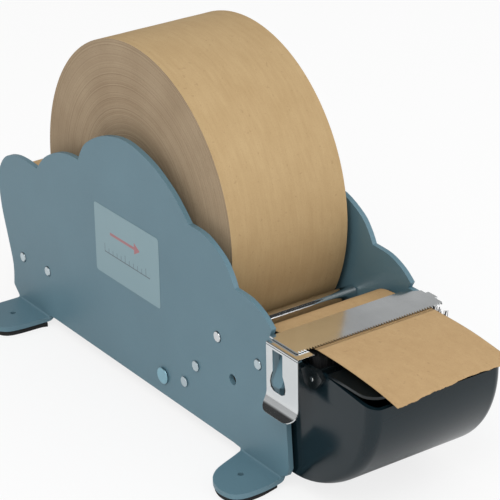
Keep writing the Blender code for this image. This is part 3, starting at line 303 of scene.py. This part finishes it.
rollHub = middle("tape_roll")
blueGrey = enamelFinish("blueGreyEnamel")
treadKraft = kraftFinish("treadKraft", tint(188, 162, 121), tint(172, 144, 103), (60, 520, 60))
tapeKraft = kraftFinish("tapeKraft", tint(190, 160, 118), tint(175, 144, 103), (140, 260, 140))
woundEdges = layeredFinish(rollHub)
glossBlack = plasticFinish("glossBlack", tint(16, 31, 37), 0.13, 0.12 * mm, 0.3)
lidBlack = plasticFinish("lidBlack", tint(16, 22, 24), 0.2, 0.1 * mm, 0.4)
satinBlack = plasticFinish("satinBlack", tint(18, 20, 22), 0.3, 0.05 * mm)
mirrorSteel = metalFinish("mirrorSteel", tint(226, 229, 230), 0.09, (60, 2400, 400), 0.001 * mm)
chromeBright = metalFinish("chromeBright", tint(228, 230, 231), 0.07, (900, 60, 900), 0.002 * mm)
zincBright = metalFinish("zincBright", tint(203, 216, 221), 0.22, (900, 900, 900), 0.004 * mm)
zincBlue = metalFinish("zincBlue", tint(158, 200, 214), 0.3, (900, 900, 900), 0.004 * mm)
zincSheet = metalFinish("zincSheet", tint(186, 191, 193), 0.34, (90, 1500, 300), 0.003 * mm)
coreCard = matteFinish("coreCard", tint(168, 142, 108), tint(140, 114, 82), 0.8, 700, 0.05 * mm)
bristleBlack = matteFinish("bristleBlack", tint(22, 23, 25), tint(9, 9, 10), 0.6, 900, 0.01 * mm)
padRubber = matteFinish("padRubber", tint(38, 38, 38), tint(22, 22, 23), 0.75, 1200, 0.04 * mm)
bushNylon = matteFinish("bushNylon", tint(214, 213, 205), tint(200, 198, 190), 0.42, 500, 0.01 * mm)
labelFilm = labelFinish()
print("finishes made")


joinDistance = 0.002 * mm


def cleanCopy(node):  # a CAD node's form with its triangles joined
    bm = bmesh.new()
    bm.from_mesh(frame["nodes"][node].data)
    bmesh.ops.remove_doubles(bm, verts=bm.verts[:], dist=joinDistance)
    bmesh.ops.dissolve_limit(bm, angle_limit=math.radians(0.5), verts=bm.verts[:], edges=bm.edges[:])
    return bm


def shade(mesh, sharp):
    mesh.shade_smooth()
    mesh.set_sharp_from_angle(angle=math.radians(sharp))


def seat(piece, *stands):  # the piece takes the place of these nodes, and rides as the first
    bpy.context.scene.collection.objects.link(piece)
    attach(piece, bodyOf[stands[0]])
    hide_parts(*stands)
    return piece


def addPiece(name, bm, finish, node, sharp=35):
    mesh = bpy.data.meshes.new(name)
    bm.to_mesh(mesh)
    bm.free()
    mesh.materials.append(finish)
    shade(mesh, sharp)
    return seat(bpy.data.objects.new(name, mesh), node)


def easeEdges(piece, width, segments=2, angle=35):
    bevel = piece.modifiers.new("easedEdges", "BEVEL")
    bevel.width = width
    bevel.segments = segments
    bevel.limit_method = "ANGLE"
    bevel.angle_limit = math.radians(angle)
    bevel.harden_normals = True
    bevel.use_clamp_overlap = True


def dress(node, finish, ease):
    bm = cleanCopy(node)
    if node in refits:
        for vert in bm.verts:
            refits[node](vert.co)
    easeEdges(addPiece(node + "Dressed", bm, finish, node), ease)


def carved(name, bm, tools):  # a form less the tools' forms
    blanks = []
    for index, form in enumerate((bm, *tools)):
        mesh = bpy.data.meshes.new(name + str(index))
        form.to_mesh(mesh)
        form.free()
        blanks.append(bpy.data.objects.new(name + str(index), mesh))
        bpy.context.scene.collection.objects.link(blanks[-1])
    for tool in blanks[1:]:
        cut = blanks[0].modifiers.new("cut", "BOOLEAN")
        cut.operation = "DIFFERENCE"
        cut.solver = "EXACT"
        cut.object = tool
    depsgraph = bpy.context.evaluated_depsgraph_get()
    mesh = bpy.data.meshes.new_from_object(blanks[0].evaluated_get(depsgraph))
    for blank in blanks:
        bpy.data.objects.remove(blank, do_unlink=True)
    made = bmesh.new()
    made.from_mesh(mesh)
    bmesh.ops.remove_doubles(made, verts=made.verts[:], dist=joinDistance)
    return made


clip = {  # the spring clip's leg, bent lip, keyhole window and the tongue folded in above it, in mm
    "back": 91.45, "front": 117.15, "outer": -49.5, "bend": 55.9, "radius": 8, "turn": math.radians(50),
    "lip": 3.4, "corner": 6.5, "thickness": 0.8, "columns": 24, "legSteps": 8, "lipSteps": 26,
    "window": [(96.65, 79.4), (104.75, 79.4), (104.75, 68), (106.2, 65.0), (107.05, 61.6), (106.5, 58.8),
               (103.9, 57.3), (97.5, 57.3), (94.9, 58.8), (94.35, 61.6), (95.2, 65.0), (96.65, 68)],
    "windowCut": (-52, -46), "flapPlace": (100.7, -47.4, 79.6), "flapSize": (8.1, 4.2, 0.6),
    "flapFall": math.radians(-7), "ease": 0.12,
}
tab = {  # the plate's catch tab in the CAD, and as the photo shows it, in mm
    "oldBack": 98.15, "oldFront": 107.85, "root": 75.8, "foot": 50, "slack": 0.1, "inner": -40,
    "back": 97.1, "front": 104.4, "lengthShare": 0.8, "lean": math.radians(22.5),
}
bracketFlange = -44 * mm  # the bracket's points past this are its flange
labelSkin = {"paint": -44.36 * mm, "share": 0.14}


def refitTab(co):  # narrowed to the window's neck, and shorter
    back, front = tab["oldBack"] * mm, tab["oldFront"] * mm
    root, slack = tab["root"] * mm, tab["slack"] * mm
    inPlace = back - slack < co.x < front + slack and co.y < tab["inner"] * mm
    if inPlace and tab["foot"] * mm < co.z < root + slack:
        share = (co.x - back) / (front - back)
        co.x = (tab["back"] + share * (tab["front"] - tab["back"])) * mm
        fall = (root - co.z) * (1 - tab["lengthShare"])
        if fall > 0:
            co.z += fall
            co.y += fall * math.tan(tab["lean"])


def refitBracket(co):  # stretched to the clip's width, its flange moved to the clip's leg
    low, high = corners("blade_bracket")
    share = (co.x - low.x) / (high.x - low.x)
    co.x = (clip["back"] + share * (clip["front"] - clip["back"])) * mm
    if co.y < bracketFlange:
        co.y += clip["outer"] * mm - low.y


def refitLabel(co):  # the film lies on the paint
    co.y = labelSkin["paint"] + (co.y - labelSkin["paint"]) * labelSkin["share"]


refits = {"left_side_plate": refitTab, "blade_bracket": refitBracket, "blank_label": refitLabel}


framePieces = {  # they keep their form but for the refits, and get eased edges: finish, and ease in mm
    "left_side_plate": (blueGrey, 0.45), "right_side_plate": (blueGrey, 0.45),
    "base_pan": (zincSheet, 0.2), "roll_stop_bracket": (zincSheet, 0.2), "tank_carrier": (zincSheet, 0.2),
    "pan_rod": (zincBright, 0.65), "rear_lower_axle": (zincBright, 0.65), "drum_axle": (zincBright, 0.65),
    "rear_top_axle": (zincBright, 0.2), "roll_stop_rod": (chromeBright, 0.4),
    "blade_bracket": (mirrorSteel, 0.1), "rear_top_roller": (satinBlack, 0.6),
    "rear_lower_roller": (satinBlack, 0.6), "feed_drum": (satinBlack, 0.25), "roll_core": (coreCard, 0.3),
    "brush_holder": (lidBlack, 0.35), "tank_lid": (lidBlack, 0.5), "lid_pin": (mirrorSteel, 0.2),
    "blank_label": (labelFilm, 0.1),
}
pairs = {
    "front_pad": (padRubber, 0.5), "rear_pad": (padRubber, 0.5), "pan_rivet": (zincBlue, 0.9),
    "upper_bracket_rivet": (zincBright, 0.65), "lower_bracket_rivet": (zincBright, 0.65),
    "roller_bush": (bushNylon, 0.3), "holder_pin": (mirrorSteel, 0.3),
}
for side in ("left", "right"):
    framePieces.update({side + "_" + name: dressing for name, dressing in pairs.items()})
for node, (finish, ease) in framePieces.items():
    dress(node, finish, ease * mm)


def makeClip():  # rows of points down the leg and round the lip, whose end corners are rounded
    top = corners("clip_lever")[1].z / mm
    leg = top - clip["bend"]
    total = leg + clip["radius"] * clip["turn"] + clip["lip"]
    stations = [leg * step / clip["legSteps"] for step in range(clip["legSteps"] + 1)]
    stations += [leg + (total - leg) * step / clip["lipSteps"] for step in range(1, clip["lipSteps"] + 1)]
    sheets = []
    bm = bmesh.new()
    for inset in (0, clip["thickness"]):
        rows = []
        for along in stations:
            turn = min(max(0, (along - leg) / clip["radius"]), clip["turn"])
            flat = max(0, along - leg - clip["radius"] * clip["turn"])
            reach = clip["radius"] + inset
            y = clip["outer"] - clip["radius"] + reach * math.cos(turn) - flat * math.sin(turn)
            z = top - min(along, leg) - reach * math.sin(turn) - flat * math.cos(turn)
            past = max(0, clip["corner"] - (total - along))
            rounding = clip["corner"] - math.sqrt(clip["corner"] ** 2 - past ** 2)
            start = clip["back"] + rounding
            width = clip["front"] - clip["back"] - 2 * rounding
            places = [start + width * column / clip["columns"] for column in range(clip["columns"] + 1)]
            rows.append([bm.verts.new((x * mm, y * mm, z * mm)) for x in places])
        sheets.append(rows)
    for rows in sheets:
        for first, second in zip(rows, rows[1:]):
            for column in range(clip["columns"]):
                bm.faces.new((first[column], first[column + 1], second[column + 1], second[column]))
    rims = [[rows[0] for rows in sheets], [rows[-1] for rows in sheets],
            [[row[0] for row in rows] for rows in sheets], [[row[-1] for row in rows] for rows in sheets]]
    for first, second in rims:
        for index in range(len(first) - 1):
            bm.faces.new((first[index], first[index + 1], second[index + 1], second[index]))
    bmesh.ops.recalc_face_normals(bm, faces=bm.faces[:])
    window = bmesh.new()
    near, far = [[window.verts.new((x * mm, y * mm, z * mm)) for x, z in clip["window"]]
                 for y in clip["windowCut"]]
    for index in range(len(near)):
        window.faces.new((near[index - 1], near[index], far[index], far[index - 1]))
    window.faces.new(near)
    window.faces.new(far)
    bmesh.ops.recalc_face_normals(window, faces=window.faces[:])
    made = carved("clipBlank", bm, [window])
    flap = Matrix.Translation(Vector(clip["flapPlace"]) * mm) @ Matrix.Rotation(clip["flapFall"], 4, "X")
    form = Matrix.Diagonal([side * mm for side in clip["flapSize"]] + [1])
    bmesh.ops.create_cube(made, size=1, matrix=flap @ form)
    easeEdges(addPiece("clipLever", made, mirrorSteel, "clip_lever", 30), clip["ease"] * mm)


makeClip()
print("frame pieces dressed")


class GeometryGraph(Graph):  # a Geometry Nodes tree with named inputs
    def __init__(self, name, inputs):
        super().__init__(bpy.data.node_groups.new(name, "GeometryNodeTree"))
        self.values = {}
        entry = self.tree.nodes.new("NodeGroupInput")
        for index, (title, value) in enumerate(inputs.items()):
            kind = "NodeSocketInt" if isinstance(value, int) else "NodeSocketFloat"
            socket = self.tree.interface.new_socket(title, in_out="INPUT", socket_type=kind)
            self.values[socket.identifier] = value
            setattr(self, title, Value(self, entry.outputs[index]))
        self.tree.interface.new_socket("Geometry", in_out="OUTPUT", socket_type="NodeSocketGeometry")

    def scatter(self, low, high, seed, identity=None):  # a random number for each point
        sockets = {"Min": low, "Max": high, "ID": identity, "Seed": seed}
        return self.node("FunctionNodeRandomValue", {"data_type": "FLOAT"}, sockets, 1)

    def paint(self, geometry, finish, chosen=None):
        sockets = {"Geometry": geometry, "Selection": chosen, "Material": finish}
        return self.node("GeometryNodeSetMaterial", None, sockets)

    def build(self, name, geometry):  # runs the tree on an empty mesh and returns the plain result
        self.feed(self.tree.nodes.new("NodeGroupOutput").inputs[0], geometry)
        carrier = bpy.data.objects.new(name + "Tree", bpy.data.meshes.new(name + "Tree"))
        bpy.context.scene.collection.objects.link(carrier)
        modifier = carrier.modifiers.new("tree", "NODES")
        modifier.node_group = self.tree
        for identifier, value in self.values.items():
            modifier[identifier] = value
        depsgraph = bpy.context.evaluated_depsgraph_get()
        mesh = bpy.data.meshes.new_from_object(carrier.evaluated_get(depsgraph))
        bpy.data.objects.remove(carrier, do_unlink=True)
        mesh.name = name
        return bpy.data.objects.new(name, mesh)


woundRoll = {"gap": 0.3 * mm, "lap": 0.22 * mm, "columns": 300, "steps": 289, "treadEdge": 0.6}


def makeRoll():  # one sheet wrapped over both faces and the tread, and closed at the bore
    low, high = corners("tape_roll")
    sizes = {
        "outer": (high.x - low.x) / 2, "inner": corners("roll_core")[1].x - rollHub.x + woundRoll["gap"],
        "half": (high.y - low.y) / 2, "lap": woundRoll["lap"],
        "columns": woundRoll["columns"], "steps": woundRoll["steps"],
    }
    roll = GeometryGraph("woundPaper", sizes)
    grid = roll.node("GeometryNodeMeshGrid", None, {"Vertices X": roll.columns, "Vertices Y": roll.steps})
    x, y = roll.split(roll.node("GeometryNodeInputPosition"))[:2]
    share = x + 0.5
    turn = (y + 0.5) * (2 * math.pi)
    sine, cosine = turn.maths("SINE"), turn.maths("COSINE")
    grow = share.ramp(0.01, 0.47) - share.ramp(0.53, 0.99)  # out over one face, back over the other
    radius = roll.inner + (roll.outer - roll.inner) * grow
    across = share.ramp(0.475, 0.525) * 2 - 1 - share.ramp(0.99, 1) * 2
    ring = (share * (woundRoll["columns"] - 1)).maths("ROUND")
    wobble = roll.scatter(0, 1, 4, ring)
    ringPlace = roll.join(ring * 0.23, sine, cosine)
    wander = roll.node("ShaderNodeTexNoise", None, {"Vector": ringPlace, "Scale": 1.3})
    onFace = grow.ramp(0.02, 0.06) * grow.ramp(0.999, 0.985)
    inset = roll.lap * onFace * (wobble * 0.55 + wander * 0.9)
    treadPlace = roll.join(across * 1.6, sine * 2, cosine * 2)
    swell = roll.node("ShaderNodeTexNoise", None, {"Vector": treadPlace, "Scale": 1.6})
    radius = radius - swell * grow.ramp(0.999, 1) * roll.lap
    depth = across * (roll.half - inset)
    point = roll.join(radius * sine + rollHub.x, depth + rollHub.y, radius * cosine + rollHub.z)
    shaped = roll.node("GeometryNodeSetPosition", None, {"Geometry": grid, "Position": point})
    closed = roll.node("GeometryNodeMergeByDistance", None, {"Geometry": shaped, "Distance": joinDistance})
    tread = roll.split(roll.node("GeometryNodeInputNormal"))[1].size().below(woundRoll["treadEdge"])
    painted = roll.paint(roll.paint(closed, woundEdges), treadKraft, tread)
    piece = roll.build("paperRoll", roll.node("GeometryNodeRealizeInstances", None, {"Geometry": painted}))
    bm = bmesh.new()
    bm.from_mesh(piece.data)
    bmesh.ops.recalc_face_normals(bm, faces=bm.faces[:])
    bm.to_mesh(piece.data)
    bm.free()
    shade(piece.data, 50)
    seat(piece, "tape_roll")


makeRoll()
print("roll wound")


tapeRun = {"cuts": 15, "ripple": 0.10 * mm, "margin": 1 * mm, "density": (30, 90, 30)}


def makeTapeRun():  # the threaded tape, with finer steps and a faint ripple
    bm = cleanCopy("tape_web")
    low, high = corners("tape_web")
    crosswise = [e for e in bm.edges if abs(e.verts[0].co.y - e.verts[1].co.y) > (high.y - low.y) / 2]
    bmesh.ops.subdivide_edges(bm, edges=crosswise, cuts=tapeRun["cuts"], use_grid_fill=True)
    for vert in bm.verts:
        if min(vert.co.y - low.y, high.y - vert.co.y) > tapeRun["margin"]:
            place = Vector([along * density for along, density in zip(vert.co, tapeRun["density"])])
            vert.co.z += noise.noise(place) * tapeRun["ripple"]
    addPiece("tapeRun", bm, tapeKraft, "tape_web")


looseEnd = {
    "thickness": 0.3 * mm, "across": 150, "along": 44, "bendStart": 0.19, "droop": 4 * mm,
    "tear": 4 * mm, "fray": 0.35 * mm, "wave": 0.5 * mm, "density": (40, 60),
    "tearShares": [0.62, 0.66, 0.60, 0.55, 0.36, 0.30, 0.16, 0.20, 0.04, 0.06, -0.10, -0.12, -0.24, -0.12,
                   -0.20, -0.02, -0.10, 0.10, 0.06, 0.22],
}


def makeLooseEnd():  # torn by the blade's teeth, so its edge is ragged
    low, high = corners("tape_end")
    tears, tear, fray = looseEnd["tearShares"], looseEnd["tear"], looseEnd["fray"]
    bend, density = looseEnd["bendStart"], looseEnd["density"]
    rest = high.x - tear
    random.seed(11)
    rows = []
    bm = bmesh.new()
    for column in range(looseEnd["across"] + 1):
        share = column / looseEnd["across"]
        place = share * (len(tears) - 1)
        index = min(int(place), len(tears) - 2)
        ahead = tears[index] + (tears[index + 1] - tears[index]) * (place - index)
        front = rest + ahead * tear - random.uniform(0, fray)
        y = low.y + share * (high.y - low.y)
        row = []
        for step in range(looseEnd["along"] + 1):
            reach = step / looseEnd["along"]
            x = low.x + (front - low.x) * reach
            past = max(0, (x - low.x) / (rest - low.x) - bend) / (1 - bend)
            drop = looseEnd["droop"] * past ** 2
            crumple = noise.noise(Vector((x * density[0], y * density[1], 0)))
            swing = math.sin(share * 7 + 1) * 0.5 + crumple
            wave = abs(looseEnd["wave"] * past * swing)
            row.append(bm.verts.new((x, y, high.z - looseEnd["thickness"] / 2 - drop - wave)))
        rows.append(row)
    for first, second in zip(rows, rows[1:]):
        for step in range(looseEnd["along"]):
            bm.faces.new((first[step], first[step + 1], second[step + 1], second[step]))
    paper = addPiece("looseEnd", bm, tapeKraft, "tape_end").modifiers.new("paper", "SOLIDIFY")
    paper.thickness = looseEnd["thickness"]
    paper.offset = 0


makeTapeRun()
makeLooseEnd()
print("tape laid")


blade = {"edge": 0.2 * mm, "grind": 0.5 * mm}


def makeBlade():  # each tooth is ground down from above
    bm = cleanCopy("blade")
    high = corners("blade")[1]
    for vert in bm.verts:
        if vert.co.x > high.x - blade["edge"] and vert.co.z > high.z - blade["edge"]:
            vert.co.z -= blade["grind"]
    addPiece("cutterBlade", bm, mirrorSteel, "blade", 25)


makeBlade()

tank = {
    "axleX": 98.45 * mm, "axleZ": 68.5 * mm, "half": 40 * mm, "sideReach": 57 * mm, "frontReach": 64.5 * mm,
    "sideDepth": 59 * mm, "depth": 59.6 * mm, "corner": 6 * mm, "wall": 2.2 * mm,
    "rimBreak": 128.45 * mm, "rim": 74.4 * mm, "rimSlope": 0.108, "arcSteps": 40, "cornerSteps": 9,
    "overrun": 2 * mm, "pinHole": 1.45 * mm, "drill": 100 * mm, "ease": 0.45 * mm,
}


def tankForm(inset, lift):  # sections from the left side round to the right one
    back = corners("water_tank")[0].x
    bm = bmesh.new()
    sections = []
    for side in (-1, 1):
        for step in range(tank["cornerSteps"] + 1):
            steps = step if side < 0 else tank["cornerSteps"] - step
            turn = math.pi / 2 * steps / tank["cornerSteps"]
            swell = math.sin(turn)
            reach = tank["sideReach"] + (tank["frontReach"] - tank["sideReach"]) * swell - inset
            depth = tank["sideDepth"] + (tank["depth"] - tank["sideDepth"]) * swell - inset
            front = tank["axleX"] + reach
            y = side * (tank["half"] - inset - (tank["corner"] - inset) * (1 - math.cos(turn)))
            fall = (front - tank["rimBreak"]) * tank["rimSlope"]
            run = [(tank["rimBreak"], tank["rim"] + lift), (front, tank["rim"] - fall + lift)]
            for index in range(tank["arcSteps"] + 1):
                angle = math.pi / 2 * index / tank["arcSteps"]
                run.append((tank["axleX"] + reach * math.cos(angle), tank["axleZ"] - depth * math.sin(angle)))
            run += [(back + inset, tank["axleZ"] - depth), (back + inset, tank["rim"] + lift)]
            sections.append([bm.verts.new((x, y, z)) for x, z in run])
    for first, second in zip(sections, sections[1:]):
        for index in range(len(first)):
            bm.faces.new((first[index - 1], first[index], second[index], second[index - 1]))
    bm.faces.new(sections[0])
    bm.faces.new(sections[-1])
    bm.normal_update()
    bmesh.ops.recalc_face_normals(bm, faces=bm.faces[:])
    return bm


def makeTank():
    inner = tankForm(tank["wall"], tank["overrun"])
    pin = middle("left_holder_pin")
    drill = bmesh.new()
    place = Matrix.Translation((pin.x, 0, pin.z)) @ Matrix.Rotation(math.pi / 2, 4, "X")
    hole = {"segments": 24, "radius1": tank["pinHole"], "radius2": tank["pinHole"], "depth": tank["drill"]}
    bmesh.ops.create_cone(drill, cap_ends=True, matrix=place, **hole)
    shaped = carved("tankBlank", tankForm(0, 0), [inner, drill])
    easeEdges(addPiece("waterTank", shaped, glossBlack, "water_tank", 30), tank["ease"], 3, 40)


makeTank()
print("tank moulded")

brush = {
    "columns": 92, "rows": 17, "radius": 0.26 * mm, "taper": 0.55, "root": 4 * mm, "margin": 1.2 * mm,
    "jog": 0.3 * mm, "lean": 0.16, "fan": 0.14, "rise": 0.12, "reach": (0.93, 0.99),
}


def makeBrush():
    low, high = corners("brush")
    centre = (low + high) / 2
    top = low.z + brush["root"]
    sizes = {
        "columns": brush["columns"], "rows": brush["rows"], "length": high.x - low.x - brush["margin"],
        "width": high.y - low.y - brush["margin"], "tall": high.z - top, "radius": brush["radius"],
        "lean": brush["lean"],
    }
    tuft = GeometryGraph("bristles", sizes)
    field = {"Size X": tuft.length, "Size Y": tuft.width, "Vertices X": tuft.rows, "Vertices Y": tuft.columns}
    grid = tuft.node("GeometryNodeMeshGrid", None, field)
    jogs = {"Min": (-brush["jog"], -brush["jog"], 0), "Max": (brush["jog"], brush["jog"], 0), "Seed": 3}
    jog = tuft.node("FunctionNodeRandomValue", {"data_type": "FLOAT_VECTOR"}, jogs)
    spread = tuft.node("GeometryNodeSetPosition", None, {"Geometry": grid, "Offset": jog})
    shift = {"Geometry": spread, "Translation": (centre.x, centre.y, top)}
    moved = tuft.node("GeometryNodeTransform", None, shift)
    cone = {"Radius Top": tuft.radius * brush["taper"], "Radius Bottom": tuft.radius, "Depth": tuft.tall}
    hair = tuft.node("GeometryNodeMeshCone", None, {"Vertices": 5, "Side Segments": 3, **cone})
    y = tuft.split(tuft.node("GeometryNodeInputPosition"))[1]
    tilt = tuft.scatter(-1, 1, 8)
    roll = tuft.scatter(-1, 1, 21)
    outward = (y - centre.y) / (tuft.width * 0.5)
    fan = outward ** 9 * brush["fan"]  # the end bristles lean out
    free = outward.size() ** 24 * brush["rise"] + 1  # nothing presses those past the tape
    turn = tuft.join(roll * tuft.lean * 0.4 - fan, tilt * tuft.lean * 0.5, 0)
    reach = tuft.scatter(*brush["reach"], 5)
    planted = {"Points": moved, "Instance": hair, "Rotation": turn, "Scale": tuft.join(1, 1, reach * free)}
    tips = tuft.node("GeometryNodeInstanceOnPoints", None, planted)
    real = tuft.node("GeometryNodeRealizeInstances", None, {"Geometry": tips})
    piece = tuft.build("brushBristles", tuft.paint(real, bristleBlack))
    block = bmesh.new()
    block.from_mesh(piece.data)
    form = Matrix.Diagonal((high.x - low.x, high.y - low.y, top - low.z, 1))
    place = Matrix.Translation((centre.x, centre.y, (low.z + top) / 2))
    bmesh.ops.create_cube(block, size=1, matrix=place @ form)
    block.to_mesh(piece.data)
    block.free()
    shade(piece.data, 60)
    seat(piece, "brush")


makeBrush()
print("brush filled")

camera = {
    "eye": (898.2, -620.89, 589.59), "look": (-0.74368, 0.51901, -0.42140), "up": (0.02722, 0, 0.99963),
    "lens": 166.39, "sensor": 36,
}


def setCamera():
    data = bpy.data.cameras.new("photoCamera")
    data.lens = camera["lens"]
    data.sensor_width = camera["sensor"]
    look = Vector(camera["look"]).normalized()
    right = look.cross(Vector(camera["up"])).normalized()
    holder = bpy.data.objects.new("photoCamera", data)
    turn = Matrix((right, right.cross(look), -look)).transposed().to_4x4()
    holder.matrix_world = Matrix.Translation(Vector(camera["eye"]) * mm) @ turn
    bpy.context.scene.collection.objects.link(holder)
    bpy.context.scene.camera = holder


studio = {  # each lamp: place, aim, width, watts; then the sky's level and the floor
    "key": ((0.9, -0.9, 1.5), (0, 0, 0.08), 1.1, 16.5),
    "front": ((1.6, 0.5, 0.9), (0, 0, 0.08), 1.0, 6),
    "back": ((0.2, 1.5, 1.2), (0, 0, 0.1), 1.0, 5),
    "ambient": 0.58, "ceilingStart": 0.44, "ceilingFull": 0.56, "ceilingDark": 0.93,
    "floorHalf": 6, "floorWhite": 0.8,
}


def setLamps():
    for name in ("key", "front", "back"):
        place, aim, width, watts = studio[name]
        data = bpy.data.lights.new(name + "Lamp", "AREA")
        data.size = width
        data.energy = watts
        lamp = bpy.data.objects.new(name + "Lamp", data)
        lamp.location = place
        lamp.rotation_euler = (Vector(aim) - Vector(place)).to_track_quat("-Z", "Y").to_euler()
        bpy.context.scene.collection.objects.link(lamp)


def setWorld():
    world = bpy.data.worlds.new("studioWorld")
    world.use_nodes = True
    bpy.context.scene.world = world
    sky = Graph(world.node_tree)
    seen = sky.node("ShaderNodeLightPath")
    glossy = sky.node("ShaderNodeLightPath", output=3)
    up = sky.split(sky.node("ShaderNodeTexCoord"))[2]
    level = (up.ramp(-0.4, 1) * 0.35 + 0.75) * studio["ambient"]
    ceiling = up.ramp(studio["ceilingStart"], studio["ceilingFull"]) * studio["ceilingDark"]
    dim = level * (1 - ceiling)  # the sky as metal and gloss mirror it
    soft = sky.mix(glossy, sky.join(level, level, level), sky.join(dim, dim, dim))
    sky.feed(world.node_tree.nodes["Background"].inputs["Color"], sky.mix(seen, soft, (1, 1, 1, 1)))


def setFloor():
    bm = bmesh.new()
    bmesh.ops.create_grid(bm, x_segments=1, y_segments=1, size=studio["floorHalf"])
    mesh = bpy.data.meshes.new("floor")
    bm.to_mesh(mesh)
    bm.free()
    surface = Finish("paleFloor", {"Roughness": 0.9, "Specular IOR Level": 0.1})
    speckle = surface.noise(surface.place(), 300, 2)
    surface.set({"Base Color": surface.mix(speckle * 0.3, (0.93, 0.93, 0.93, 1), (0.90, 0.90, 0.90, 1))})
    seen = surface.node("ShaderNodeLightPath") * studio["floorWhite"]
    lit = Value(surface, surface.shader.outputs[0])
    white = surface.node("ShaderNodeEmission")
    paled = surface.node("ShaderNodeMixShader", None, {0: seen, 1: lit, 2: white})
    surface.feed(surface.tree.nodes["Material Output"].inputs["Surface"], paled)
    mesh.materials.append(surface.material)
    floor = bpy.data.objects.new("floor", mesh)
    bpy.context.scene.collection.objects.link(floor)


setCamera()
setLamps()
setWorld()
setFloor()
bpy.context.scene.view_settings.view_transform = "Standard"
print("studio set")
